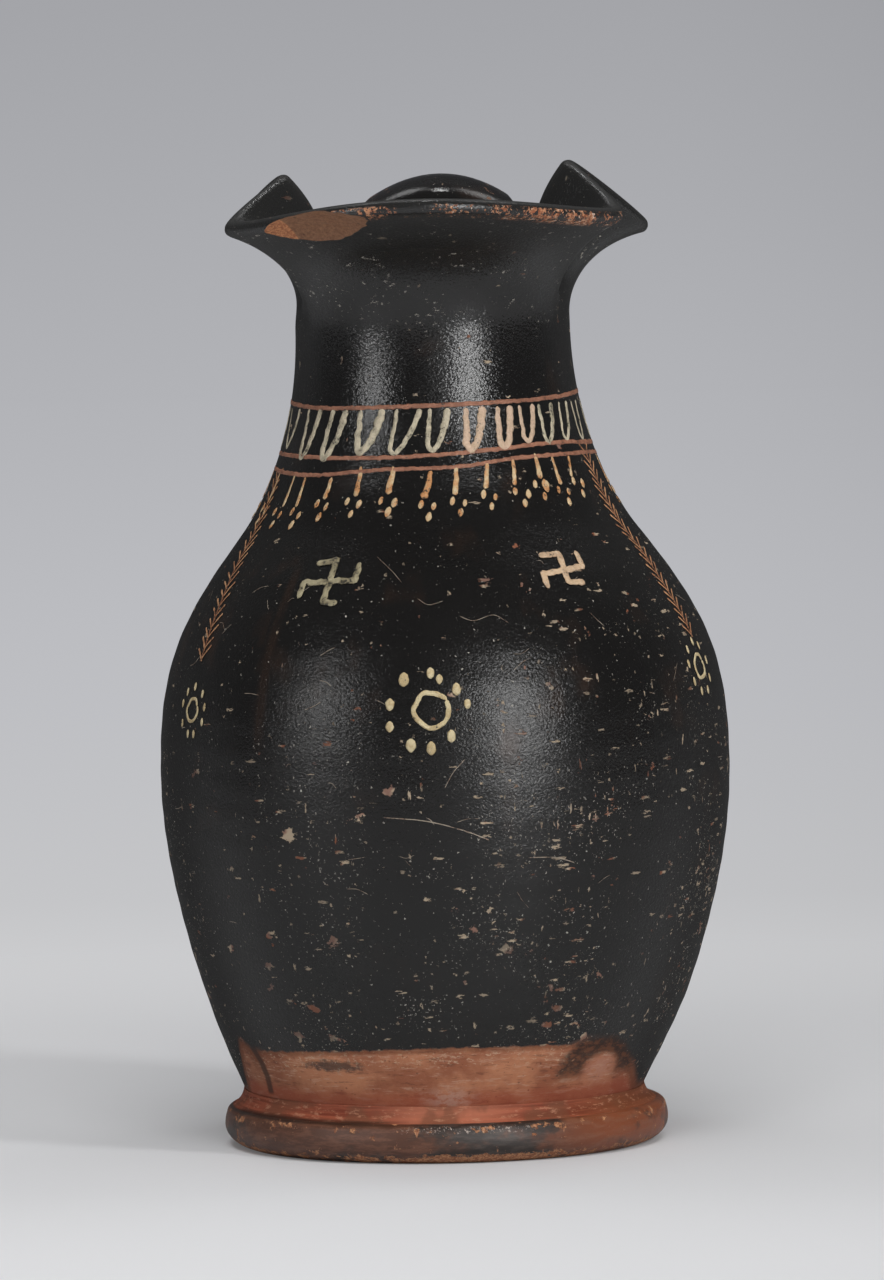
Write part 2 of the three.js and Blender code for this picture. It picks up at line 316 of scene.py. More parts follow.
class Finish(Nodes):
    def __init__(self, name):
        self.material = bpy.data.materials.new(name)
        super().__init__(self.material)
        self.place = self.node("ShaderNodeTexCoord", out="Object")
        self.x, self.y, self.height = [
            self.node("ShaderNodeSeparateXYZ", inputs={0: self.place}, out=axis) * (1 / mm) for axis in "XYZ"]
        x, y = self.x - jug["axis"][0], self.y - jug["axis"][1]
        self.angle = x.maths("ARCTAN2", x, y * -1) * math.degrees(1)

    def noise(self, size, detail=3, roughness=0.55, stretch=(1, 1, 1), seed=0, out="Fac"):
        # Clouds whose lumps are about size millimetres, drawn out along an axis where stretch is small
        inputs = {"Vector": self.stretched(stretch, seed), "Scale": 1 / (size * mm),
                  "Detail": detail, "Roughness": roughness}
        return self.node("ShaderNodeTexNoise", inputs=inputs, out=out)

    def stretched(self, stretch, seed, turn=0, place=None):
        # The place moved by its seed, turned about the y axis and drawn out
        return self.node("ShaderNodeMapping", inputs={
            "Vector": place or self.place, "Location": (seed, seed * 0.7, seed * 0.3),
            "Rotation": (0, math.radians(turn), 0), "Scale": stretch})

    def vectors(self, operation, *values):
        return self.node("ShaderNodeVectorMath", {"operation": operation}, dict(enumerate(values)))

    def flecks(self, size, share, radius, ragged=0.3, stretch=(1, 1, 1), seed=0, turn=0):
        # Scattered spots: cells of the given size, of which a share holds a spot with a ragged edge
        wobble = self.noise(size / 3, 4, 0.65, stretch, seed, out="Color")
        nudged = self.vectors("MULTIPLY_ADD", wobble, (ragged * size * mm,) * 3, self.place)
        inputs = {"Vector": self.stretched(stretch, seed, turn, nudged), "Scale": 1 / (size * mm)}
        cells = self.node("ShaderNodeTexVoronoi", inputs=inputs, out="Distance")
        chance = self.node("ShaderNodeSeparateColor", inputs={0: cells.other("Color")})
        reach = radius * (0.35 + 1.3 * chance.other("Green"))
        chosen = chance.maths("LESS_THAN", chance, share)
        return (reach - cells).rise(0, 0.12 * radius) * chosen * (0.45 + 0.55 * chance.other("Blue"))

    def oval(self, angle, height, wide, tall):
        # Distance from a place on the wall, 1 on the edge of an oval of that half width and half height
        across, up = (self.angle - angle) * (1 / wide), (self.height - height) * (1 / tall)
        return (across * across + up * up).power(0.5)

    def lookup(self, value, stops):
        # Reads a value off a list of (place, level), with straight lines between
        first, last = stops[0][0], stops[-1][0]
        share = (value - first) * (1 / (last - first))
        levels = [((place - first) / (last - first), (level, level, level, 1)) for place, level in stops]
        return self.node("ShaderNodeSeparateColor", inputs={
            0: self.node("ShaderNodeValToRGB", {"stops": levels}, {0: share})})

    def gritty(self, amount, size=0.35):
        # Surface directions tipped at random from grain to grain, as fine grit in a gloss tips them
        off = self.vectors("SUBTRACT", self.noise(size, 3, 0.8, out="Color"), (0.5,) * 3)
        plain = self.node("ShaderNodeNewGeometry", out="Normal")
        return self.vectors("MULTIPLY_ADD", off, (amount,) * 3, plain)

    def surface(self, colour, roughness, relief, depth, grit=0, mirror=None):
        # relief is a height of 0 to 1 that stands for depth millimetres; grit tips the surface's directions
        bump = {"Height": relief, "Distance": depth * mm, "Strength": 1.0}
        if grit:
            bump["Normal"] = self.gritty(grit)
        inputs = {"Base Color": colour, "Roughness": roughness,
                  "Normal": self.node("ShaderNodeBump", inputs=bump, out="Normal")}
        if mirror:
            inputs["Specular IOR Level"] = mirror
        shader = self.node("ShaderNodeBsdfPrincipled", inputs=inputs)
        self.node("ShaderNodeOutputMaterial", inputs={"Surface": shader})
        return self.material


def fillRamp(ramp, stops):
    while len(ramp.elements) < len(stops):
        ramp.elements.new(0.5)
    for element, (place, colour) in zip(ramp.elements, stops):
        element.position, element.color = place, colour


# Body

body = {
    "wall": (4.6, 4.2),         # thickness at the base and at the joint
    "floor": 5,
    "floorEdge": 30,            # where the inner floor starts to curve up
    "floorCurveTop": 24,
    "slices": 240,
    "throwing": (0.07, 6.5),    # depth and spacing of the potter's finger grooves
    "uneven": 0.12,
    "inset": 0.05,              # how far the wall stands back from its stations, grooves and lumps left out
    "plain": (14, 131),         # heights from which the wall runs true to its joints below and above
    "level": (0.95, 0.1),       # a level face's normal points up or down by that much; its height, in metres
}


def innerWall(height):
    radius, slope = wallAt(height)
    share = (height - jug["base"]) / (jug["joint"] - jug["base"])
    return radius - between(*body["wall"], share) * math.hypot(1, slope)


def makeBody():
    outside = [(wallAt(height)[0], height) for height in steps(jug["base"], jug["joint"], 110)]
    inside = [(innerWall(height), height) for height in steps(jug["joint"], body["floorCurveTop"], 40)]
    floor = jug["base"] + body["floor"]
    start, turn, end = inside[-1], (innerWall(floor), floor + 0.5), (body["floorEdge"], floor)
    corner = [tuple((1 - t) ** 2 * a + 2 * t * (1 - t) * b + t * t * c for a, b, c in zip(start, turn, end))
              for t in steps(0, 1, 10)[1:]]
    under = [(radius, jug["base"]) for radius in (0, 12, 24, 34)]
    inner = [(radius, floor) for radius in (22, 12, 0)]

    def lean(point):
        radius, angle, height = ringPlace(point)
        free = eased(jug["base"], body["plain"][0], height) * eased(jug["joint"], body["plain"][1], height)
        grooves, spacing = body["throwing"]
        groove = grooves * (0.5 + 0.5 * math.sin(math.tau * height / spacing + 2 * rolling(30, point)))
        lump = body["uneven"] * (0.5 + 0.5 * rolling(22, point, 4))
        return onAxis(angle, radius - free * (groove + lump + body["inset"]), height)

    return thrown("jug_body", [*under, *outside, *inside, *corner, *inner], body["slices"], lean, 35)


# Neck and mouth: made as a straight thick tube, then flared and pinched into a spout and two lobes

neck = {
    "wall": 3.2,                # thickness at the throat and the lip
    "tube": (40, 60),           # radius and height of the straight tube, half of it below the throat
    "slices": 300,
    "uneven": 0.1,
    # Round the mouth, from the back over the left lobe, the spout and the right lobe to the back again:
    # angle, height of the first curve point, then radius and height above the throat of the second one
    # and of the rim
    "mouth": [(-180, 8, 30.5, 17.5, 41, 21.2), (-113, 7, 30, 16, 40.7, 19.4),
              (-75.5, 7, 17.5, 17, 29.4, 29.7), (-57.5, 7, 30, 16, 44.5, 21), (0, 8, 31.5, 20, 50.7, 25),
              (61, 7, 30, 16, 43, 21.5), (78.5, 7, 17.5, 17, 28.8, 31), (104, 7, 30, 16, 43, 18.8),
              (180, 8, 30.5, 17.5, 41, 21.2)],
    # The spall in the lip: its angle, the scoop's size along the lip, inwards and across, its place, and how
    # rough it is in its large and its small lumps
    "chip": {"angle": -24, "size": (33, 17, 7), "tilt": 31, "inward": 1.5, "drop": 3.9, "rough": (0.5, 0.25)},
}


def mouthCurve(angle, share):
    # Radius and height of the middle of the wall above the throat
    degrees = math.degrees(math.atan2(math.sin(angle), math.cos(angle)))
    (low, *before), (high, *after) = stretchOf(neck["mouth"], degrees)
    part = eased(low, high, degrees)
    near, turnOut, turnUp, rimOut, rimUp = [between(a, b, part) for a, b in zip(before, after)]
    throat = wallAt(jug["throat"])[0] - neck["wall"] / 2
    s = 1 - share
    out = s**3 * throat + 3 * s * s * share * throat + 3 * s * share**2 * turnOut + share**3 * rimOut
    up = 3 * s * s * share * near + 3 * s * share**2 * turnUp + share**3 * rimUp
    return out, up


def neckThickness(share):
    joint = body["wall"][1] * math.hypot(1, wallAt(jug["joint"])[1])
    return between(neck["wall"], joint, max(-share, 0))


def middleOfNeck(angle, share):
    # share is -1 at the joint, 0 at the throat and 1 at the rim
    if share <= 0:
        height = between(jug["throat"], jug["joint"], -share)
        return onAxis(angle, wallAt(height)[0] - neckThickness(share) / 2, height)
    out, up = mouthCurve(angle, share)
    return onAxis(angle, out, jug["throat"] + up)


def neckDirections(angle, share):
    # Directions out of the wall and along it; out is square to the axis up to the throat
    step = 0.004
    across = middleOfNeck(angle + step, share) - middleOfNeck(angle - step, share)
    along = middleOfNeck(angle, min(share + step, 1)) - middleOfNeck(angle, share - step)
    out = across.cross(along)
    if share <= 0:
        out = onAxis(angle, 1, jug["throat"]) - onAxis(angle, 0, jug["throat"])
    return out.normalized(), along.normalized()


def makeNeck():
    radius, height = neck["tube"]
    shares = [*steps(-1, 0, 16), *steps(0, 1, 40)[1:]]
    outside = [(radius + neckThickness(share) / 2, share * height) for share in shares]
    inside = [(radius - neckThickness(share) / 2, share * height) for share in reversed(shares)]
    half = neck["wall"] / 2
    lip = [(radius + half * math.sin(math.radians(turn)), height + half * math.cos(math.radians(turn)))
           for turn in range(75, -90, -15)]
    piece = spun("jug_neck_and_mouth", [*outside, *lip, *inside, outside[0]], neck["slices"])
    rim = piece.data.attributes.new("rim", "FLOAT", "POINT")
    inner = piece.data.attributes.new("inner", "FLOAT", "POINT")

    for i, vertex in enumerate(piece.data.vertices):
        tubeRadius, angle, tubeHeight = ringPlace(vertex.co / mm)
        share = min(max(tubeHeight / height, -1), 1)
        off, beyond = tubeRadius - radius, max(tubeHeight - height, 0)
        out, along = neckDirections(angle, share)
        point = middleOfNeck(angle, share) + out * off + along * beyond
        rim.data[i].value = share + beyond / half * 0.05 - max(-off, 0) * 0.02
        inner.data[i].value = min(max(-off, 0), 1)
        lump = eased(-1, -0.85, share) * neck["uneven"] * (0.5 + 0.5 * rolling(15, point, 2))
        vertex.co = (point - out * lump) * mm
    return smoothed(piece, 50)


def chipLip(piece):
    # Old spall left of the spout: a tilted scoop takes the lip's edge and runs in under it
    chip = neck["chip"]
    place = middleOfNeck(math.radians(chip["angle"]), 1)
    tilt = Matrix.Rotation(math.radians(-chip["tilt"]), 3, "X")
    turn = Matrix.Rotation(math.radians(chip["angle"]), 3, "Z")
    bpy.ops.object.select_all(action="DESELECT")
    bpy.ops.mesh.primitive_ico_sphere_add(subdivisions=6, radius=0.5 * mm)
    scoop = newPiece("scoop")

    def hollow(point):
        sized = Vector([part * size for part, size in zip(point, chip["size"])])
        lump = chip["rough"][0] * rolling(3, point * 12, 1) + chip["rough"][1] * rolling(0.9, point * 12, 2)
        inside = Vector((0, chip["inward"], -chip["drop"]))
        return place + turn @ (tilt @ sized + inside) + point.normalized() * lump

    dressed(reshaped(scoop, hollow), fractureFinish)
    piece = cut(piece, scoop)
    bpy.data.objects.remove(scoop)
    return smoothed(piece, 50)


# Foot, and the coils of clay smoothed into the joints

foot = {
    "top": 8, "restingInner": 33.5, "seatInner": 29.5, "offCentre": 0.4, "slices": 240,
    "wear": (0.12, 0.14, 0.05),     # of the edges: all round, in large lumps and in small ones
    # Handles of the outer roll, then of its turn into the top: radius and height
    "roll": [(40.6, 0), (44.7, 1.2), (45.1, 3.8), (44.3, 6.4)],
    "edge": [(44.3, 6.4), (44.05, 7.6), (42.8, 8)],
    "coil": {"top": 11.2, "reach": 42.5, "hollow": 0.5},
    "neckCoil": {"reach": 5.5, "bulge": 2.2, "slices": 160},
}


def bezier(points, count):
    # Points along a curve of three or four handles
    order = len(points) - 1
    return [tuple(sum(math.comb(order, k) * (1 - t) ** (order - k) * t**k * point[axis]
                      for k, point in enumerate(points)) for axis in (0, 1)) for t in steps(0, 1, count)]


def makeFoot():
    roll = bezier(foot["roll"], 24) + bezier(foot["edge"], 8)[1:]
    under = bezier([(foot["seatInner"], foot["top"]), (foot["seatInner"] + 0.8, 2.5),
                    (foot["restingInner"], 0)], 12)

    def worn(point):
        radius, angle, height = ringPlace(point)
        edge = eased(0, 1.5, height) * eased(8, 6.5, height)
        even, large, small = foot["wear"]
        radius -= edge * (even + large * rolling(9, point) + small * rolling(2, point, 3))
        return onAxis(angle, radius, height) + Vector((foot["offCentre"], 0, 0))

    return thrown("jug_foot", [*roll, (36, foot["top"]), *under, (37, 0), roll[0]], foot["slices"], worn)


def makeFootCoil():
    coil = foot["coil"]
    wall = lambda height: wallAt(height)[0] + 0.02
    face = bezier([(coil["reach"], foot["top"]), (wall(coil["top"]) + coil["hollow"], jug["base"] + 0.6),
                   (wall(coil["top"]) + 0.1, coil["top"])], 14)
    back = [(wall(height), height) for height in steps(coil["top"], jug["base"], 4)]
    corner = (wall(jug["base"]), foot["top"])
    return thrown("jug_foot_coil", [*face, *back, corner, face[0]], foot["slices"])


def makeNeckCoil():
    coil = foot["neckCoil"]
    wall = lambda height: wallAt(height)[0] - (body["wall"][1] - 0.2) * math.hypot(1, wallAt(height)[1])
    heights = steps(jug["joint"] - coil["reach"], jug["joint"] + coil["reach"], 14)
    bulges = [coil["bulge"] * (1 - ((height - jug["joint"]) / coil["reach"]) ** 2) for height in heights]
    face = [(wall(height) - 0.3 - bulge, height) for height, bulge in zip(heights, bulges)]
    back = [(wall(height), height) for height in (heights[-1], jug["joint"], heights[0])]
    return thrown("jug_neck_coil", [*face, *back, face[0]], coil["slices"])


# Handle: a straight strap is bent along its path and cut to the jug

handle = {
    # Distance behind the axis and height of the middle of the strap
    "path": [(35.6, 184.4), (40, 187), (46, 188.8), (54.2, 186.6), (61.2, 177.5), (63.9, 162),
             (61.5, 144), (55.5, 127), (42, 105)],
    # Along the strap: half width, bulge outwards and inwards, and how ridged the outer side is (ellipse: 1)
    "strap": [(0, 15.4, 4, 2.6, 2.6), (0.12, 13.4, 4.1, 3, 1.9), (0.36, 9.3, 3.3, 2.4, 1),
              (0.6, 8.4, 3, 2.2, 1), (0.85, 9.4, 3.3, 2.6, 1), (1, 13, 5, 4.6, 1)],
    "rounded": 0.05,            # how far the end on the lip is rounded off, along the strap
    "blunt": (0.78, 0.2),       # width and thickness left at that end, as shares of the strap's own
    "uneven": 0.12,
    "facets": 48,
    # Coils round the strap's ends: from and to along the strap, and their thickness at both ends
    "coils": {"jug_handle_upper_coil": (0.006, 0.12, 1.0, 0.2),
              "jug_handle_lower_coil": (0.85, 0.99, 0.2, 3.5)},
}


def lengthOf(points):
    return sum((end - start).length for start, end in zip(points, points[1:]))


def smoothPath(points, count):
    # Evenly spaced points and directions on a curve that passes through all the given points
    points = [points[0] * 2 - points[1], *points, points[-1] * 2 - points[-2]]
    fine = []
    for p0, p1, p2, p3 in zip(points, points[1:], points[2:], points[3:]):
        a, b, c = [(end - start).length ** 0.5 for start, end in ((p0, p1), (p1, p2), (p2, p3))]
        leave = ((p1 - p0) / a - (p2 - p0) / (a + b) + (p2 - p1) / b) * b
        reach = ((p2 - p1) / b - (p3 - p1) / (b + c) + (p3 - p2) / c) * b
        for t in steps(0, 1, 120)[:-1]:
            fine.append(hermite(t, p1, leave, p2, reach))
    fine.append(points[-2])
    lengths = [0]
    for before, after in zip(fine, fine[1:]):
        lengths.append(lengths[-1] + (after - before).length)
    places, i = [], 0
    for goal in steps(0, lengths[-1], count):
        while i < len(fine) - 2 and lengths[i + 1] < goal:
            i += 1
        share = (goal - lengths[i]) / (lengths[i + 1] - lengths[i])
        places.append((fine[i].lerp(fine[i + 1], share), (fine[i + 1] - fine[i]).normalized()))
    return places


pathCount = 2000
handlePath = smoothPath([Vector((0, *point)) for point in handle["path"]], pathCount)


def strapAt(share):
    (low, *before), (high, *after) = stretchOf(handle["strap"], share)
    half, outer, inner, ridge = [between(a, b, eased(low, high, share)) for a, b in zip(before, after)]
    full = math.sqrt(1 - (1 - min(share / handle["rounded"], 1)) ** 2)
    wide, thick = [between(least, 1, full) for least in handle["blunt"]]
    return half * wide, outer * thick, inner * thick, ridge


def strapLength(name, start, end, count, growth=lambda share: 0):
    # A disc is drawn up into a tube, then every ring of it is set across the handle's path
    bpy.ops.object.select_all(action="DESELECT")
    bpy.ops.mesh.primitive_circle_add(vertices=handle["facets"], radius=mm, fill_type="NGON")
    piece = newPiece(name)
    bpy.ops.object.mode_set(mode="EDIT")
    bpy.ops.mesh.select_all(action="SELECT")
    for _ in range(count):
        bpy.ops.mesh.extrude_region_move(TRANSFORM_OT_translate={"value": (0, 0, mm)})
    tidyMesh()

    def bend(point):
        # The rings stand closer together near the rounded start
        share = between(start, end, (point.z / count) ** 1.4)
        centre, along = handlePath[round(share * pathCount)]
        inward = along.cross(Vector((1, 0, 0)))
        half, outer, inner, ridge = strapAt(share)
        grow = growth(share)
        side, depth = point.x * (half + grow), point.y * (inner + grow)
        if point.y < 0:
            depth = -(-point.y) ** ridge * (outer + grow)
        place = centre + Vector((side, 0, 0)) + inward * depth + Vector((*jug["axis"], 0))
        return place + inward * handle["uneven"] * rolling(9, place)

    return reshaped(piece, bend)


def makeEnvelope():
    # The body as a filled shape, to cut the handle to
    profile = [(wallAt(height)[0], height) for height in steps(60, jug["joint"] + 24, 40)]
    piece = spun("envelope", [(0, profile[0][1]), *profile, (0, profile[-1][1])], 120)
    return reshaped(piece, leaned)


def makeHandle(neckPiece):
    # The coils are hollowed with the whole strap, then everything is cut to the jug
    envelope = makeEnvelope()
    strap = strapLength("jug_handle", 0, 1, 110)
    coils = []
    for name, (start, end, first, last) in handle["coils"].items():
        coil = strapLength(name, start, end, 28, lambda share: between(first, last, eased(start, end, share)))
        for cutter in (strap, envelope, neckPiece):
            coil = cut(coil, cutter)
        coils.append(coil)
    for cutter in (envelope, neckPiece):
        strap = cut(strap, cutter)
    bpy.data.objects.remove(envelope)
    for piece in (strap, *coils):
        smoothed(piece, 50)
    return strap, *coils


# Painted ornament: strokes of slip are drawn on the wall as round cords, then pressed flat on to it

paint = {
    "step": 0.3,                # between the points of a stroke
    "flat": 0.16,               # how thick the slip is, against its half width
    "hookedCrosses": True,      # the two small crosses of old meander ornament on the shoulder
    "halves": {"line": 0.44, "stem": 0.24, "arm": 0.7},     # half widths of lines, stems and crosses
    # Angle and height along each brush line round the neck
    "lines": [
        [(-140, 149.6), (-110, 149.4), (-77, 149.2), (-49, 148.6), (-14, 148.8), (20, 149), (50, 149.2),
         (81, 149.8), (110, 150), (140, 149.4)],
        [(-140, 138.8), (-110, 139), (-80, 139.2), (-27, 138.9), (2, 139.2), (26, 139.9), (51, 140.5),
         (80, 139.8), (110, 139.4), (140, 139)],
        [(-140, 136), (-110, 136.2), (-85, 136.2), (-45, 135.5), (-20, 136.5), (13, 136.9), (30, 137.9),
         (69, 138), (110, 137), (140, 136.4)],
    ],
    # Hanging tongues: angles of left top, tip and right top, height of the tip, half width
    "tongues": [(-124, -120, -114, 140, 0.6), (-107, -103, -98, 140, 0.6), (-91, -87, -82, 140.4, 0.6),
                (-76, -71.5, -65, 140.6, 0.55), (-56.5, -55.5, -48.5, 138.7, 0.7),
                (-41, -42, -34, 138.8, 0.85), (-27.5, -26, -18, 139.9, 0.9), (-12, -12.5, -3, 139.5, 0.6),
                (1, 1.5, 8, 140, 0.7), (15, 16, 22, 140, 0.95), (28, 29, 33.5, 140.1, 0.85),
                (38, 39.5, 44.5, 141, 0.65), (48, 49.5, 55.5, 140.6, 0.65), (61, 60.5, 67, 140.8, 0.5),
                (72, 74, 78, 140.6, 0.45), (87, 90, 95, 140.5, 0.5), (103, 106, 111, 140.2, 0.55),
                (119, 122, 127, 140, 0.55)],
    # Pendants under the double line: angles of top and tip, heights of top and tip, half width, and how far
    # its three beads hang to the side
    "pendants": [(-112, -112, 136, 130.4, 0.4, 0), (-98, -97, 136, 130.4, 0.4, 1),
                 (-85, -85, 136, 130.2, 0.4, 0), (-70, -70.5, 135.6, 129.6, 0.3, -1),
                 (-56.6, -56.9, 135.6, 129.2, 0.3, -1.7), (-49.6, -49.3, 135.1, 129.3, 0.32, 1),
                 (-36.4, -37.1, 135.2, 130.9, 0.42, -0.6), (-24.7, -25, 137.3, 131.5, 0.42, -0.5),
                 (-12.5, -13.6, 137.3, 131.8, 0.48, 0.1), (1, -1.7, 136.2, 130.8, 0.52, 1.4),
                 (9.9, 8.7, 137.2, 131.4, 0.42, 1.1), (21.1, 19.1, 137.7, 132.3, 0.4, 1.1),
                 (31.3, 29.8, 138.3, 132.6, 0.38, 1.9), (41, 40.8, 138.6, 133.7, 0.44, -0.8),
                 (48.8, 48.9, 137.8, 132.3, 0.38, 0.4), (58, 55.6, 137.7, 133.6, 0.36, 2.5),
                 (86, 86, 137.4, 131.4, 0.4, 0), (99, 98, 137, 131, 0.4, 0),
                 (113, 112, 136.6, 130.6, 0.4, 0)],
    # Heights of the tongues' tops and of their bends on the way down and up, and half width of the tip
    "tongueShape": {"top": 148.3, "down": 144.5, "up": 144, "tip": 0.8},
    "pinkTongues": (9, 12),     # the tongues painted in a pinker slip, from and up to
    "beads": {"places": [(-1.3, -1), (1.3, -1.5), (0.1, -3.4)], "half": 0.56},
    # One bead by itself: angle, height, half width, and how tall it is against that
    "largeBead": (41.9, 132.3, 0.85, 1.5),
    # Leafy branches: angle and height down the stem
    "branches": [
        [(-72, 135.7), (-70.8, 129.8), (-68, 123.5), (-65.2, 117.3), (-62.2, 111.6), (-60.4, 105),
         (-59.8, 99.5)],
        [(72.5, 138.7), (72.3, 132.2), (71.2, 124), (72.2, 118.7), (71.5, 114), (71.5, 108.3), (71.9, 101)],
    ],
    "leaf": {"spacing": 2.1, "length": 3.7, "spread": 43, "half": 0.2, "gap": 0.35},
    # Rings of the middle rosette and of those under the branches: centre, radius, half width
    "rings": [(0.2, 90.8, 3.45, 0.5), (-59.4, 89.6, 2.3, 0.36), (70.5, 95.3, 2.4, 0.4)],
    # Dots round the middle ring: angle, height, half width
    "centreDots": [(-5.1, 96.7, 1.0), (0.4, 97.8, 0.8), (2.2, 96.6, 0.7), (5.6, 94.6, 0.9), (7.7, 91.7, 0.7),
                   (4.3, 85.6, 0.9), (0.3, 83.3, 1.0), (-3.7, 83.9, 1.0), (-7.9, 87.6, 0.8),
                   (-7.9, 91.9, 0.9)],
    "sideDots": {"count": 9, "reach": 4.9, "half": 0.5},
    # Hooked crosses: the strokes of each, angle and height
    "crosses": [
        [[(-31.6, 118.7), (-25.6, 119.4), (-26, 111.6), (-22.3, 111.4)],
         [(-33.3, 112.2), (-33.2, 115.1), (-19, 115.7), (-18.5, 119)]],
        [[(30.3, 119.1), (36.5, 119.3), (36.2, 113.8), (40.9, 113.7)],
         [(29.9, 112.9), (29.8, 115.7), (37.3, 116.2), (42.4, 116.6), (42.4, 119.5)]],
    ],
    # Scratches down to the clay: angle and height from end to end, and half width
    "scratches": [([(-9.5, 69.8), (-0.5, 69), (7.5, 66.8), (11.5, 65.2)], 0.1),
                  ([(19.5, 61.6), (25.5, 61.4), (29.5, 60.3)], 0.1),
                  ([(6.8, 81), (4.5, 78.5), (2.8, 75.5)], 0.07),
                  ([(-14, 120), (-9, 117), (-6.5, 115)], 0.04),
                  ([(7, 108.5), (10, 107.5), (15, 108.4), (18, 106.8)], 0.06),
                  ([(-2.5, 112), (0, 110.8), (3.5, 111.4)], 0.05)],
    "hairs": {"count": 44, "length": (1.2, 4.5), "half": (0.035, 0.065), "heights": (44, 118), "seed": 5},
}


def strokeOf(points, half, sharp=False, swell=(1, 1)):
    # Even places along a stroke in angle and height, with the half width at each; swell widens start and end
    radius = wallAt(points[0][1])[0]
    flat = [Vector((math.radians(angle) * radius, height, 0)) for angle, height in points]
    if sharp:
        shares = steps(0, 1, 6)[:-1]
        flat = [start.lerp(end, t) for start, end in zip(flat, flat[1:]) for t in shares] + [flat[-1]]
    length = lengthOf(flat)
    count = max(3, round(length / paint["step"]))
    stroke = []
    for i, (place, _) in enumerate(smoothPath(flat, count)):
        fromEnd = min(i, count - i) / count * length
        end = min(fromEnd / half, 1)
        pressure = 1 + 0.2 * rolling(2.2, place, half * 5) + 0.26 * rolling(0.6, place, 2)
        width = half * pressure * max(math.sqrt(1 - (1 - end) ** 2), 0.25) * between(*swell, i / count)
        waver = 0.35 * half * Vector((rolling(1.3, place, 3), rolling(1.3, place, 8)))
        stroke.append((math.degrees((place.x + waver.x) / radius), place.y + waver.y, width))
    return stroke


def dabOf(angle, height, half, tall=1.35, turn=0):
    # One touch of the brush, a little taller than wide
    reach = half * tall
    lean = spanned(math.sin(math.radians(turn)) * reach, height)
    return [(angle + lean * t, height + reach * t, half * max(math.sqrt(max(1 - t * t, 0)), 0.2)
             * (1 + 0.25 * rolling(1, Vector((angle, height, t * 2))))) for t in steps(-1, 1, 6)]


def painted(name, strokes, finish):
    curve = bpy.data.curves.new(name, "CURVE")
    curve.dimensions = "3D"
    curve.bevel_depth = mm
    curve.bevel_resolution = 2
    curve.use_fill_caps = True
    for stroke in strokes:
        spline = curve.splines.new("POLY")
        spline.points.add(len(stroke) - 1)
        for point, (angle, height, half) in zip(spline.points, stroke):
            point.co = (*(wallPoint(angle, height) * mm), 1)
            point.radius = half
    piece = bpy.data.objects.new(name, curve)
    bpy.context.collection.objects.link(piece)
    selectOnly(piece)
    bpy.ops.object.convert(target="MESH")
    piece = bpy.context.object
    piece.data.name = name
    bpy.ops.object.mode_set(mode="EDIT")
    tidyMesh()
    reshaped(piece, pressed)
    bpy.ops.object.shade_smooth()
    dressed(piece, finish)
    return piece


def pressed(point):
    # Sets a point close to the wall, straight under where it was
    height = point.z
    for _ in range(2):
        lean = leanAt(height)
        x = (point.x - jug["axis"][0] - driftAt(height)) / math.cos(lean)
        height = point.z + x * math.sin(lean)
    radius, angle, _ = ringPlace(Vector((x, point.y - jug["axis"][1], 0)))
    wall, slope = wallAt(height)
    across = math.hypot(1, slope)
    off = (radius - wall) / across
    return wallPoint(math.degrees(angle), height + off * slope / across, off * paint["flat"])


def tongueStrokes():
    # A down stroke and an up stroke that meet in a rounded tip
    shape, strokes = paint["tongueShape"], []
    for left, tip, right, low, half in paint["tongues"]:
        side = spanned(shape["tip"], low)
        down = [(left, shape["top"]), (between(left, tip - side, 0.5), shape["down"]), (tip - side, low + 1)]
        up = [(tip + side, low + 0.7), (between(tip + side, right, 0.6), shape["up"]), (right, shape["top"])]
        strokes.append(strokeOf([*down, (tip, low), *up], half * 0.9, swell=(0.7, 1.1)))
    return strokes


def pendantStrokes():
    # A short stroke that swells downwards, with three beads under it
    strokes, beads = [], paint["beads"]
    for i, (top, tip, high, low, half, shift) in enumerate(paint["pendants"]):
        middle = (between(top, tip, 0.4), between(high, low, 0.5))
        strokes.append(strokeOf([(top, high), middle, (tip, low)], half * 1.15, swell=(0.8, 1.25)))
        for side, drop in beads["places"]:
            chance = rolling(1, Vector((i, side, drop)))
            angle = tip + shift + spanned(side + 0.35 * chance, low)
            height = low + drop + 0.4 * rolling(1, Vector((side, i, 3)))
            strokes.append(dabOf(angle, height, beads["half"] * (1 + 0.3 * chance), 1.45, 15))
    strokes.append(dabOf(*paint["largeBead"]))
    return strokes


def leafStrokes(stem):
    # Pairs of leaves that open upwards along the stem
    leaf, strokes = paint["leaf"], []
    flat = [Vector((math.radians(angle) * wallAt(height)[0], height, 0)) for angle, height in stem]
    count = round(lengthOf(flat) / leaf["spacing"])
    places = smoothPath([Vector((angle, height, 0)) for angle, height in stem], count)
    for place, direction in places[1:]:
        run = math.atan2(math.radians(direction.x) * wallAt(place.y)[0], -direction.y)
        for side in (-1, 1):
            turn = run + side * math.radians(leaf["spread"] + 5 * rolling(1, place, side))
            reach = leaf["length"] * (1 + 0.2 * rolling(1, place, side + 5))
            end = (place.x - spanned(math.sin(turn) * reach, place.y), place.y + math.cos(turn) * reach)
            begin = (place.x + side * spanned(leaf["gap"], place.y), place.y)
            middle = (between(begin[0], end[0], 0.5) + side * 0.2, between(place.y, end[1], 0.5))
            strokes.append(strokeOf([begin, middle, end], leaf["half"], swell=(0.8, 1.3)))
    return strokes


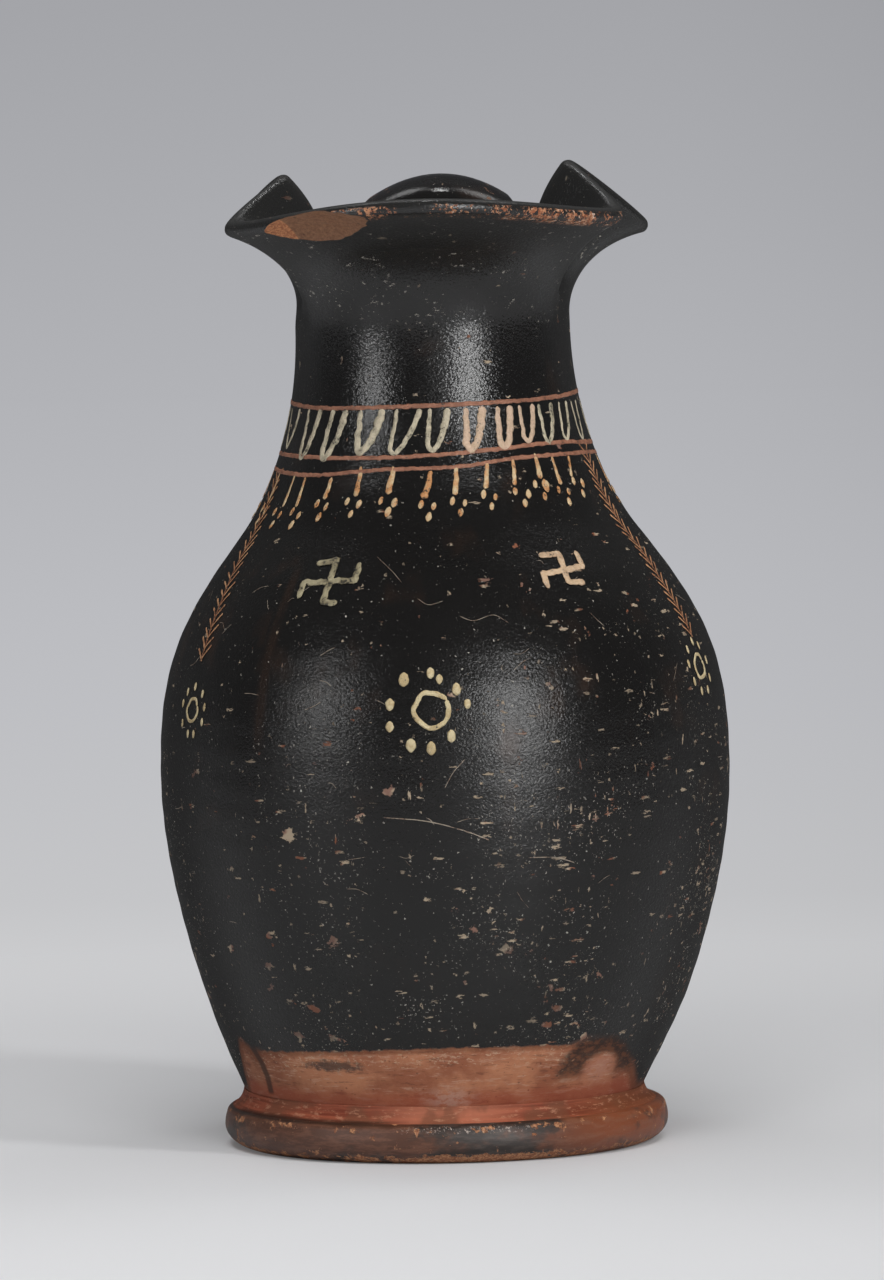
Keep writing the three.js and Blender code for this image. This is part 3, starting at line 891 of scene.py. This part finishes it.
def ringStroke(angle, height, reach, half):
    corners = []
    for i in range(13):
        turn = math.tau * i / 12 + 0.5
        bulge = reach * (1 + 0.22 * rolling(0.8, Vector((math.cos(turn), math.sin(turn), angle + 1))))
        corners.append((angle + spanned(bulge * math.cos(turn), height), height + bulge * math.sin(turn)))
    return strokeOf(corners, half)


def dotRing(angle, height):
    dots, strokes = paint["sideDots"], []
    for i in range(dots["count"]):
        turn = math.tau * (i + 0.3 * rolling(1, Vector((i, angle, 0)))) / dots["count"] + 0.2
        across, up = spanned(dots["reach"] * math.cos(turn), height), dots["reach"] * math.sin(turn)
        strokes.append(dabOf(angle + across, height + up, dots["half"], 1.7))
    return strokes


def hairStrokes():
    # Fine short scratches, scattered over the belly and shoulder
    hairs, chance = paint["hairs"], random.Random(paint["hairs"]["seed"])
    strokes = []
    for _ in range(hairs["count"]):
        angle, height = chance.uniform(-80, 80), chance.uniform(*hairs["heights"])
        turn, reach = chance.uniform(-0.9, 0.9), chance.uniform(*hairs["length"]) / 2
        across, up = spanned(math.cos(turn) * reach, height), math.sin(turn) * reach
        bow = chance.uniform(-0.5, 0.5)
        points = [(angle - across, height - up), (angle, height + bow), (angle + across, height + up)]
        strokes.append(strokeOf(points, chance.uniform(*hairs["half"])))
    return strokes


# Finishes of this jug

# Colours are red, green and blue as the eye reads them, 0 to 255
blackGloss, brownGloss = (19, 18, 17), (56, 38, 27)
buff, pinkClay, orangeClay = (196, 176, 150), (150, 112, 96), (148, 92, 66)
slips = {
    # Main colour, the one it is mottled with, the faded one, and how much is left, higher for more
    "cream_slip": ((202, 190, 164), (170, 160, 136), (218, 208, 186), 0.56),
    "ring_slip": ((206, 190, 150), (188, 166, 122), (222, 208, 174), 0.6),
    "pink_slip": ((206, 176, 150), (198, 170, 142), (224, 202, 182), 0.6),
    "brown_slip": ((160, 108, 84), (140, 92, 70), (190, 142, 116), 0.58),
    "bead_slip": ((206, 178, 136), (196, 138, 86), (226, 210, 180), 0.56),
    "stem_slip": ((112, 66, 46), (134, 86, 58), (150, 100, 70), 0.55),
    "leaf_slip": ((186, 138, 98), (156, 106, 72), (208, 172, 132), 0.57),
    "cross_slip": ((202, 172, 138), (186, 156, 126), (222, 204, 182), 0.57),
    "worn_slip": ((160, 150, 120), (128, 118, 92), (196, 186, 156), 0.53),
    "scratch_clay": ((160, 148, 132), (130, 108, 92), (186, 174, 160), 0.54),
}


def glossy(finish, wear=1.0, flaking=1.0, polish=0.2, brushing=0.1, dulled=0.6):
    # Black gloss with a fine grain and brush lines, thin brown places, dust, scratches, and flakes down to
    # the clay: its colour, roughness and relief
    height = finish.height
    grain = finish.noise(0.5, 2, 0.6)
    lines = finish.noise(0.7, 3, 0.6, (0.06, 0.06, 1), seed=9)
    cloud = finish.noise(17, 3, seed=2)
    brush = finish.noise(9, 3, stretch=(1, 1, 0.16), seed=5)
    thin = (cloud + brush * 0.6).rise(0.88, 1.15)
    streak = finish.angle.band(-36, 0.5, 1.6) * height.band(100, 14, 6) * brush.rise(0.3, 0.55)
    patch = finish.noise(16, 4, 0.6, seed=8).rise(0.4, 0.6)
    busy = (0.35 + height.rise(112, 50) * 0.6 + finish.x.rise(-30, 45) * 0.25) * (0.3 + patch) * wear
    right, low = finish.x.rise(-10, 30), height.rise(70, 30)
    dust = finish.flecks(1.2, busy * 0.5, 0.1, 0.9, seed=1)
    dust = dust.most((finish.noise(0.5, 3, 0.7, seed=10) + busy * 0.05).rise(0.7, 0.75) * 0.75)
    specks = finish.flecks(1.9, busy * 0.3, 0.13, 0.9, (1, 1, 1.5), seed=2)
    marks = finish.flecks(3.4, busy * (0.25 + low * 0.2), 0.15, 0.8, (0.7, 0.7, 2.6), seed=3, turn=12)
    slanted = finish.flecks(3.8, busy * (0.15 + right * 0.35), 0.16, 0.5, (0.7, 0.7, 3.6), seed=4, turn=-52)
    upright = finish.flecks(3.2, busy * (0.1 + right * 0.3), 0.15, 0.5, (2.8, 2.8, 0.7), seed=6)
    small = specks.most(marks, slanted, upright)
    flakes = finish.flecks(6.5, busy * (0.26 + low * 0.3) * flaking, 0.15, 0.85, (1, 1, 1.4), seed=7)
    lost = dust.most(small, flakes)
    shade = finish.noise(4, 2, seed=3)
    clay = finish.layered(pinkClay, (shade.rise(0.5, 0.6), buff), (shade.rise(0.44, 0.38), orangeClay))
    # Below the belly the black is painted paler grey: a painted reflection of the bright floor
    colour = finish.layered(
        blackGloss, ((thin * 0.5).most(streak * 0.35), brownGloss), (height.rise(76, 30) * 0.8, (30, 30, 29)),
        (dust * 0.95, (206, 200, 188)), (small * 0.85, finish.mix(shade.rise(0.36, 0.46), orangeClay, buff)),
        (flakes * 0.85, clay))
    # Seen along the surface the gloss is duller, as worn gloss is
    along = finish.node("ShaderNodeLayerWeight", inputs={"Blend": 0.5}, out="Facing").rise(0.25, 0.75)
    roughness = (polish + cloud * 0.06 + along * dulled).most(lost * 0.8)
    relief = grain * 1.1 + lines * brushing + finish.noise(1.6, 2, seed=4) * 0.3 - lost * 0.5
    return colour, roughness, relief


def bodyGloss():
    # Black gloss down to a line above the foot, with drips at both sides; bare red-washed clay below it
    finish = Finish("body_gloss")
    height, angle = finish.height, finish.angle
    gloss, roughness, relief = glossy(finish)
    line = finish.lookup(angle, [
        (-180, 20), (-140, 21.5), (-100, 15), (-82, 12), (-73, 12.4), (-67, 17.4), (-64.5, 21), (-61.5, 23.4),
        (-57, 21.6), (-51, 21.3), (-33, 22.1), (-12, 23), (7, 23.4), (30, 23), (36, 22.8), (43, 23.8),
        (50, 23.4), (54, 22.2), (58.5, 20), (64, 17), (70, 14), (75, 12), (86, 12), (100, 17), (140, 21),
        (180, 20)])
    waver = finish.noise(1.5, 4, 0.7, seed=11) * 1.3 - 0.65
    above = height - line + waver
    # The left drip runs down beside -60 degrees: height, then degrees from there
    dripPath = [(12, 4.9), (13, 5.2), (15.8, 6.7), (18.6, 6.5), (21.5, 4.6)]
    fromDrip = angle + 60 - finish.lookup(height, dripPath)
    dripLeft = fromDrip.band(-0.3, 0.8, 1.2) * height.rise(11.8, 12.8)
    fine = finish.noise(1.1, 4, 0.65, (0.6, 0.6, 1.2), seed=12)
    arch = (finish.oval(48.6, 16.8, 10.4, 5.9) + fine * 0.36 - 0.18).band(1, 0.24, 0.3)
    arch = arch * height.rise(14.2, 17.5) * fine.rise(0.2, 0.4)
    smear = (finish.oval(-27, 19.3, 11, 1.5) + fine * 1.6 - 0.8).rise(0.95, 0.45)
    sides = angle.rise(34, 40).most(angle.rise(-50, -54))
    soft = above.rise(-1.3, 1.1) * sides + above.rise(-0.3, 0.2) * (1 - sides)
    glazed = soft.most(smear * 0.75)
    scrape = finish.noise(1.0, 4, 0.7, (0.22, 0.22, 1.3), seed=15)
    scribbles = finish.noise(0.7, 5, 0.75, (0.6, 0.6, 1.1), seed=17).rise(0.55, 0.62)
    wash = (height + finish.noise(6, 3, seed=19) * 3 - 1.5).rise(15.4, 12.4)
    bloom = fine.rise(0.36, 0.6) * finish.oval(4.5, 12.6, 9, 3.6).rise(1.1, 0.2)
    underArch = finish.oval(48.4, 17, 7, 3.4).rise(1.2, 0.3) * fine.rise(0.3, 0.6)
    glow = (above.band(-0.2, 0.3, 0.9) * 0.55).most(
        above.band(-0.6, 0.9, 2.2) * sides * 0.85, fromDrip.band(-2.4, 1.6, 3) * height.rise(15, 19) * 0.6)
    clay = finish.layered(
        (160, 98, 70), (finish.noise(11, 4, 0.6, seed=14).rise(0.36, 0.62), (200, 136, 100)),
        (angle.rise(-20, -58) * 0.5, (122, 78, 58)), (angle.rise(20, 55) * 0.4, (150, 88, 64)),
        (scrape.rise(0.52, 0.66) * 0.5, (206, 168, 142)),
        (scribbles * above.band(-1.6, 1.4, 1.6) * 0.6, (216, 190, 160)),
        (scrape.rise(0.44, 0.34) * 0.5, (98, 62, 48)),
        (finish.flecks(0.9, 0.3, 0.16, 0.5, seed=16) * 0.6, (76, 48, 38)),
        (wash * 0.65, (156, 74, 50)), (bloom * 0.5, (196, 164, 148)), (underArch * 0.5, (190, 142, 124)),
        (glow, (110, 62, 38)), (arch * 0.88, finish.mix(fine.rise(0.45, 0.6), (40, 32, 28), (96, 58, 38))),
        (dripLeft * 0.85, (66, 42, 32)))
    bare = 1 - glazed
    roughness = glazed * roughness + bare * 0.85
    relief = relief * glazed + bare * (finish.noise(0.5, 3, 0.7, seed=18) * 0.6 + scrape * 0.5) + glazed * 0.3
    return finish.surface(finish.mix(glazed, clay, gloss), roughness, relief, 0.09, 0.6, 0.36)


def neckGloss():
    # The same gloss, with the lip worn to the clay along its outer edge, mostly right of the spout
    finish = Finish("neck_gloss")
    height, angle = finish.height, finish.angle
    gloss, roughness, relief = glossy(finish, 0.35, 0.5, 0.1, 0.0)
    nicks = finish.noise(0.9, 5, 0.75, (0.7, 0.7, 1.1), seed=35).rise(0.6, 0.64)
    nicks = nicks * finish.noise(5, 3, seed=36).rise(0.5, 0.6) * height.band(174, 8, 6)
    rim, inner = [finish.node("ShaderNodeAttribute", {"attribute_name": name}, out="Fac")
                  for name in ("rim", "inner")]
    front = finish.lookup(angle, [
        (-180, 0.1), (-100, 0.15), (-60, 0.1), (-34, 0.3), (-14, 0.85), (-9, 0.8), (-5, 0.45), (12, 0.6),
        (22, 0.75), (28, 1), (44, 1), (59, 0.75), (66, 0.2), (75, 0.15), (110, 0.2), (180, 0.1)])
    lip = rim.rise(0.95, 0.985) * inner.rise(0.35, 0)
    fine = finish.noise(0.75, 5, 0.72, (1, 1, 1.2), seed=31)
    patches = finish.noise(3.4, 3, seed=32)
    worn = (fine + patches * 0.5 + front * 0.27).rise(1.0, 1.04) * lip
    worn = worn * (1 - finish.flecks(1.1, 0.55, 0.32, 0.8, seed=37) * 0.9)
    grains = finish.noise(0.9, 3, 0.7, seed=33)
    clay = finish.layered((150, 86, 54), (grains.rise(0.42, 0.56), (200, 144, 106)),
                          (grains.rise(0.56, 0.66) * angle.rise(-4, 8), (222, 212, 200)))
    deep = inner * height.rise(156, 152)
    drip = (deep + finish.noise(7, 3, stretch=(1, 1, 0.3), seed=34) * 0.5).rise(0.7, 0.8) * inner
    colour = finish.layered(gloss, (height.rise(164, 178) * 0.6, (42, 42, 41)),
                            (nicks * 0.75, (196, 190, 178)), (worn, clay), (drip, (150, 100, 74)))
    relief = relief - worn * (0.9 - fine * 0.8)
    return finish.surface(colour, roughness.most(worn * 0.8, drip * 0.8), relief, 0.08, 0.75)


def handleGloss():
    # Better kept, but rubbed through along both edges of the strap
    finish = Finish("handle_gloss")
    gloss, roughness, relief = glossy(finish, 0.5, 0.5, 0.07, 0.0, 0.1)
    edge = finish.x.maths("ABSOLUTE", finish.x - jug["axis"][0]).rise(6.5, 9.5)
    rub = (finish.noise(2.2, 4, 0.65, seed=41) + edge * 0.12).rise(0.71, 0.77)
    colour = finish.mix(rub * 0.8, gloss, (120, 84, 62))
    return finish.surface(colour, roughness.most(rub * 0.6), relief - rub * 0.3, 0.04, 0.15)


def insideClay():
    # Bare fired clay: mottled, with dark grit and pale grains
    finish = Finish("inside_clay")
    clay = finish.layered(
        (150, 94, 68), (finish.noise(6, 4, 0.6, seed=51).rise(0.36, 0.64), (176, 116, 84)),
        (finish.flecks(1.1, 0.3, 0.2, 0.5, seed=52) * 0.6, (214, 176, 140)),
        (finish.flecks(1.4, 0.25, 0.18, 0.5, seed=53) * 0.7, (70, 44, 34)))
    relief = finish.noise(0.5, 3, 0.7, seed=54) * 0.6 + finish.noise(2.4, 3, seed=55) * 0.6
    return finish.surface(clay, 0.82, relief, 0.16)


def coilClay():
    # Red-washed clay of the corner above the foot, drawn out in fine rings, with painted shade in the crease
    # at the left
    finish = Finish("coil_clay")
    height, angle = finish.height, finish.angle
    rings = finish.noise(1.3, 4, 0.65, (0.06, 0.06, 1.4), seed=61)
    pale = finish.noise(0.8, 4, 0.72, (0.3, 0.3, 1), seed=63).rise(0.54, 0.66)
    # Painted shade: the crease against the foot is darkened at the left
    creaseShade = (height + rings * 1.2).rise(9.5, 8.7) * angle.rise(-2, -22) * angle.rise(-78, -66)
    clay = finish.layered(
        (118, 56, 38), (rings.rise(0.38, 0.62), (158, 86, 62)), (angle.band(4, 6, 22) * 0.55, (196, 124, 96)),
        (finish.noise(7, 3, seed=62).rise(0.46, 0.62) * 0.7, (116, 74, 54)),
        (angle.rise(30, 62) * 0.6, (126, 76, 46)), (pale * 0.5, (198, 146, 116)),
        (creaseShade * 0.85, (48, 32, 24)))
    relief = rings * 0.6 + finish.noise(0.5, 2, seed=64) * 0.4
    return finish.surface(clay, 0.75, relief, 0.14, mirror=0.25)


def footWorn():
    # Thin brown-black gloss worn through to orange clay on the edges, with painted shade in the crease at the
    # left and a painted highlight of glints along the top edge
    finish = Finish("foot_worn")
    height, angle = finish.height, finish.angle
    cloud = finish.noise(9, 4, 0.6, (1, 1, 1.6), seed=71)
    streak = finish.noise(1.4, 4, 0.68, (0.3, 0.3, 1.3), seed=72)
    front = finish.lookup(angle, [(-180, 0.6), (-90, 0.2), (-62, 0.5), (-48, 0.15), (-8, 0.3), (2, 0.9),
                                  (22, 1), (32, 0.6), (42, 0.15), (90, 0.3), (180, 0.6)])
    dark = (cloud * 1.5 + front * 0.6 + height.rise(3, 1) * 0.15).rise(0.95, 1.25)
    # Painted shade: the top of the foot is darkened at the left, in the crease under the coil
    creaseShade = height.rise(7.3, 7.8) * angle.rise(-2, -22)
    fine = finish.noise(1.5, 5, 0.72, (0.8, 0.8, 1), seed=73)
    edges = height.rise(2.8, 0.8) * (0.12 + front * 0.24)
    edges = edges + height.band(6.9, 0.3, 0.8) * cloud.rise(0.4, 0.6) * 0.14
    worn = (fine + finish.noise(4.5, 2, seed=77) * 0.3 + edges).rise(0.79, 0.84)
    worn = worn.most(finish.flecks(3, 0.34, 0.17, 0.9, (1, 1, 0.6), seed=74))
    clay = finish.mix(finish.noise(0.8, 3, 0.7, seed=75).rise(0.4, 0.6), (150, 92, 60), (204, 148, 106))
    # Painted highlight: near-white glints along the top edge of the roll
    paintedGlint = finish.noise(0.5, 3, 0.7, seed=76).rise(0.56, 0.64)
    paintedGlint = paintedGlint * height.band(6.9, 0.2, 0.8) * angle.band(9, 11, 10)
    colour = finish.layered(
        (88, 54, 38), (angle.rise(18, 55), (134, 72, 42)), (streak.rise(0.42, 0.66) * 0.5, (136, 92, 70)),
        (dark * 0.9, finish.mix(streak.rise(0.4, 0.7), (36, 33, 30), (66, 62, 58))),
        (creaseShade * 0.8, (44, 31, 24)), (worn * 0.85, clay), (paintedGlint * 0.65, (222, 204, 190)))
    roughness = (0.42 + streak * 0.14).most(worn * 0.78)
    return finish.surface(colour, roughness, streak * 0.5 + fine * 0.4 - worn * 0.4, 0.18)


def fractureClay():
    # The spalled clay: brown and smooth with age, raw and orange at its left end and upper edge
    finish = Finish("fracture_clay")
    angle = finish.angle
    fresh = angle.rise(-33, -36.5).most(finish.height.rise(186.6, 188.6) * angle.rise(-20, -15))
    fresh = (fresh + finish.noise(3, 4, 0.6, seed=81) * 0.5).rise(0.5, 0.72)
    grit = finish.noise(0.6, 4, 0.75, seed=82)
    raw = finish.mix(grit.rise(0.38, 0.62), (154, 90, 56), (208, 144, 98))
    aged = finish.mix(grit.rise(0.35, 0.65), (120, 80, 55), (148, 106, 76))
    # Painted shade: small dark spots stand for the shade in pits of the break
    pitShade = finish.flecks(1.6, 0.3, 0.12, 0.4, seed=83)
    colour = finish.layered(aged, (fresh, raw), (pitShade, (58, 40, 32)))
    return finish.surface(colour, 0.78, grit * (0.35 + fresh * 0.6), 0.22)


def slip(name):
    # Painted slip, uneven in colour, that has rubbed through to the gloss in places
    finish = Finish(name)
    main, other, faded, left = slips[name]
    cloud = finish.noise(2.2, 3, seed=91)
    grain = finish.noise(0.5, 4, 0.72, seed=92)
    rubbed = (grain * 0.6 + cloud * 0.4).rise(left, left + 0.03)
    colour = finish.layered(main, (cloud.rise(0.4, 0.6), other), (grain.rise(0.5, 0.64) * 0.5, faded),
                            (grain.rise(0.44, 0.34) * 0.4, (96, 84, 66)), (rubbed * 0.92, blackGloss))
    return finish.surface(colour, 0.66 - rubbed * 0.3, grain * 0.8, 0.06)


print("ways of working ready")
fractureFinish = fractureClay()

jugBody = makeBody()
innerFinish = insideClay()
dressed(jugBody, bodyGloss(), innerFinish)
for face in jugBody.data.polygons:
    # The inner skin and the underside are bare clay
    outwards = face.center.x - jug["axis"][0] * mm, face.center.y - jug["axis"][1] * mm
    inside = face.normal.x * outwards[0] + face.normal.y * outwards[1] < 0
    upright, top = body["level"]
    level = abs(face.normal.z) > upright and face.center.z < top
    face.material_index = 1 if inside or level else 0
print("body made")

neckShell = makeNeck()
strap, *coils = makeHandle(neckShell)
print("neck and handle made")
dressed(neckShell, neckGloss())
neckShell = chipLip(neckShell)
strapFinish = handleGloss()
for piece in (strap, *coils):
    dressed(piece, strapFinish)

footRing, footCoil, neckCoil = makeFoot(), makeFootCoil(), makeNeckCoil()
dressed(footRing, footWorn())
dressed(footCoil, coilClay())
dressed(neckCoil, innerFinish)
print("foot made")

tongues, halves = tongueStrokes(), paint["halves"]
pink, pinkEnd = paint["pinkTongues"]
rosettes = [
    *[ringStroke(*ring) for ring in paint["rings"]],
    *[dabOf(*dot) for dot in paint["centreDots"]],
    *[dot for angle, height, *_ in paint["rings"][1:] for dot in dotRing(angle, height)],
]
scratches = [*[strokeOf(*scratch) for scratch in paint["scratches"]], *hairStrokes()]
ornament = [painted(name, strokes, slip(finish)) for name, strokes, finish in (
    ("painted_lines", [strokeOf(line, halves["line"]) for line in paint["lines"]], "brown_slip"),
    ("painted_tongues", tongues[:pink] + tongues[pinkEnd:], "cream_slip"),
    ("painted_pink_tongues", tongues[pink:pinkEnd], "pink_slip"),
    ("painted_pendants", pendantStrokes(), "bead_slip"),
    ("painted_stems", [strokeOf(stem, halves["stem"]) for stem in paint["branches"]], "stem_slip"),
    ("painted_leaves", [leaf for stem in paint["branches"] for leaf in leafStrokes(stem)], "leaf_slip"),
    ("painted_rosettes", rosettes, "ring_slip"),
    ("scratches", scratches, "scratch_clay"))]
if paint["hookedCrosses"]:
    for side, arms, finish in zip(("left", "right"), paint["crosses"], ("worn_slip", "cross_slip")):
        strokes = [strokeOf(arm, halves["arm"], sharp=True) for arm in arms]
        ornament.append(painted(f"painted_{side}_cross", strokes, slip(finish)))
print("ornament painted")

for piece, node, slot in ((jugBody, "body", "body_glaze"), (neckShell, "neck_and_mouth", "neck_glaze"),
                          (footRing, "foot", "foot_clay"), (footCoil, "foot_luting_coil", "bare_clay"),
                          (neckCoil, "neck_luting_coil", "inner_clay"), (strap, "handle", "handle_glaze"),
                          (coils[0], "handle_upper_coil", "handle_glaze"),
                          (coils[1], "handle_lower_coil", "handle_glaze")):
    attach(piece, "root")
    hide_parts(node)
for piece in ornament:
    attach(piece, "root")


# Floor, light and camera

studio = {
    "floor": 12,                # metres across
    "wallBehind": 3.6,          # metres behind the jug
    "wallHeight": 3,
    # Depth behind the jug plus height up the wall, in metres, and the grey there, 0 to 255
    "greys": [(-0.4, 222), (-0.2, 220), (0, 213), (0.27, 208), (0.52, 198), (0.82, 195), (1.22, 192),
              (1.73, 189), (2.07, 186.8), (2.47, 184.6), (2.95, 182.3), (3.53, 180.4), (3.6, 180),
              (3.71, 172.8), (3.82, 166), (4.2, 150)],
    # Azimuth round the jug from the camera's side, height, distance, width, tallness in metres, watts, and
    # the use: a lamp that only shines in the gloss, one that only lights what is dull, or both
    "lamps": {"leftSoftbox": (-48, 0.44, 1.3, 0.14, 0.6, 3.6, "shine"),
              "rightSoftbox": (32, 0.38, 1.3, 0.22, 0.72, 8, "shine"),
              "rightPanel": (20, 0.5, 1.6, 0.9, 0.8, 1.9, "shine"),
              "overhead": (180, 1.9, 0.2, 0.08, 0.35, 3, "shine"),
              "side": (47, 0.95, 1.4, 0.2, 0.2, 8, "light"),
              "front": (2, 2.0, 1.6, 1.2, 1.2, 28, "light"),
              "ceiling": (0, 2.6, 0.3, 2.4, 2.4, 14, "light"),
              "backLeft": (-130, 2.0, 1.0, 0.7, 0.7, 3.5, "both"),
              "backRight": (130, 2.0, 1.0, 0.7, 0.7, 3.5, "both")},
    "aim": 0.1,                 # height that the lamps point at, in metres
    "world": 0.13,              # brightness of the surroundings that light the jug
    "sky": (176, 177, 181),     # what the camera sees past the floor
    "lit": 1.08,                # how pale the floor's own colour is, to be lit to the greys above
    "bounce": 1.0,              # the same for the light that it throws back
    "ownLight": 0.15,           # share of the floor's grey near the jug that no shadow reaches
    "near": (0.17, 0.4),        # metres from the jug over which that share rises to the whole
    "sheen": 0.07,              # how much the floor mirrors the lamps into the jug
    "sheenRough": 0.3,
}
camera = {"azimuth": 3, "distance": 1950, "height": 231, "aimHeight": 100.6, "aimRight": 1.2, "roll": -1.05,
          "lens": 274.2}


def makeFloor():
    # A floor whose far edge is turned up into a wall
    bpy.ops.object.select_all(action="DESELECT")
    half, wall = studio["floor"] / 2, studio["wallBehind"]
    bpy.ops.mesh.primitive_plane_add(size=studio["floor"], location=(0, wall - half, 0))
    floor = newPiece("floor")
    bpy.ops.object.transform_apply(location=True)
    bpy.ops.object.mode_set(mode="EDIT")
    bpy.ops.mesh.select_mode(type="EDGE")
    bpy.ops.mesh.select_all(action="DESELECT")
    bpy.ops.object.mode_set(mode="OBJECT")
    for edge in floor.data.edges:
        edge.select = all(floor.data.vertices[v].co.y > wall - 0.01 for v in edge.vertices)
    bpy.ops.object.mode_set(mode="EDIT")
    bpy.ops.mesh.extrude_region_move(TRANSFORM_OT_translate={"value": (0, 0, studio["wallHeight"])})
    bpy.ops.object.mode_set(mode="OBJECT")
    finish = Finish("floor_paper")
    depth = (finish.y + finish.height) * mm
    first, last = studio["greys"][0][0], studio["greys"][-1][0]
    share = (depth - first) * (1 / (last - first))

    def greys(strength):
        # Bluer towards the back
        stops = []
        for place, level in studio["greys"]:
            cool = between(0.8, 2, eased(0, 1.5, place))
            colour = tone(level - cool, level - 0.6 * cool, level + 1.5 * cool)[:3]
            stops.append(((place - first) / (last - first), (*(part * strength for part in colour), 1)))
        ramp = finish.node("ShaderNodeValToRGB", {"stops": stops}, {0: share})
        return finish.mix(finish.x.rise(-80, 200) * 0.1, ramp, (0, 0, 0))

    seen = finish.node("ShaderNodeLightPath", out="Is Camera Ray")
    lit = finish.mix(seen, greys(studio["bounce"]), greys(studio["lit"]))
    plain = finish.node("ShaderNodeBsdfDiffuse", inputs={"Color": lit})
    sheen = finish.node("ShaderNodeBsdfGlossy", inputs={
        "Color": (1, 1, 1, 1), "Roughness": studio["sheenRough"]})
    plain = finish.node("ShaderNodeMixShader", inputs={0: (1 - seen) * studio["sheen"], 1: plain, 2: sheen})
    glow = finish.node("ShaderNodeEmission", inputs={"Color": greys(1)})
    own = studio["ownLight"]
    away = ((finish.x * finish.x + finish.y * finish.y).power(0.5) * mm).rise(*studio["near"])
    mixed = finish.node("ShaderNodeMixShader", inputs={0: seen * (own + (1 - own) * away), 1: plain, 2: glow})
    finish.node("ShaderNodeOutputMaterial", inputs={"Surface": mixed})
    floor.data.materials.append(finish.material)


def makeLight():
    for name, (azimuth, height, distance, width, tall, watts, use) in studio["lamps"].items():
        turn = math.radians(azimuth)
        place = Vector((distance * math.sin(turn), -distance * math.cos(turn), height))
        bpy.ops.object.light_add(type="AREA", location=place)
        lamp = newPiece(name)
        lamp.data.shape, lamp.data.size, lamp.data.size_y, lamp.data.energy = "RECTANGLE", width, tall, watts
        lamp.visible_glossy, lamp.visible_diffuse = use != "light", use != "shine"
        lamp.rotation_euler = (Vector((0, 0, studio["aim"])) - place).to_track_quat("-Z", "Y").to_euler()
    world = bpy.context.scene.world or bpy.data.worlds.new("studio")
    bpy.context.scene.world = world
    sky, grey = Nodes(world), studio["world"]
    dim = sky.node("ShaderNodeBackground", inputs={"Color": (grey, grey, grey * 1.03, 1)})
    pale = sky.node("ShaderNodeBackground", inputs={"Color": tone(*studio["sky"])})
    seen = sky.node("ShaderNodeLightPath", out="Is Camera Ray")
    mixed = sky.node("ShaderNodeMixShader", inputs={0: seen, 1: dim, 2: pale})
    sky.node("ShaderNodeOutputWorld", inputs={"Surface": mixed})


def makeCamera():
    turn = math.radians(camera["azimuth"])
    back = Vector((math.sin(turn), -math.cos(turn), 0))
    right = Vector((math.cos(turn), math.sin(turn), 0))
    foot = Vector((*jug["axis"], 0))
    place = (foot + back * camera["distance"] + Vector((0, 0, camera["height"]))) * mm
    aim = (foot + right * camera["aimRight"] + Vector((0, 0, camera["aimHeight"]))) * mm
    bpy.ops.object.camera_add(location=place)
    view = newPiece("camera")
    view.rotation_euler = (aim - place).to_track_quat("-Z", "Y").to_euler()
    view.rotation_euler.rotate_axis("Z", math.radians(camera["roll"]))
    view.data.lens = camera["lens"]
    view.data.clip_end = 50
    bpy.context.scene.camera = view


makeFloor()
makeLight()
makeCamera()
bpy.context.scene.view_settings.view_transform = "Standard"
print("stage set")
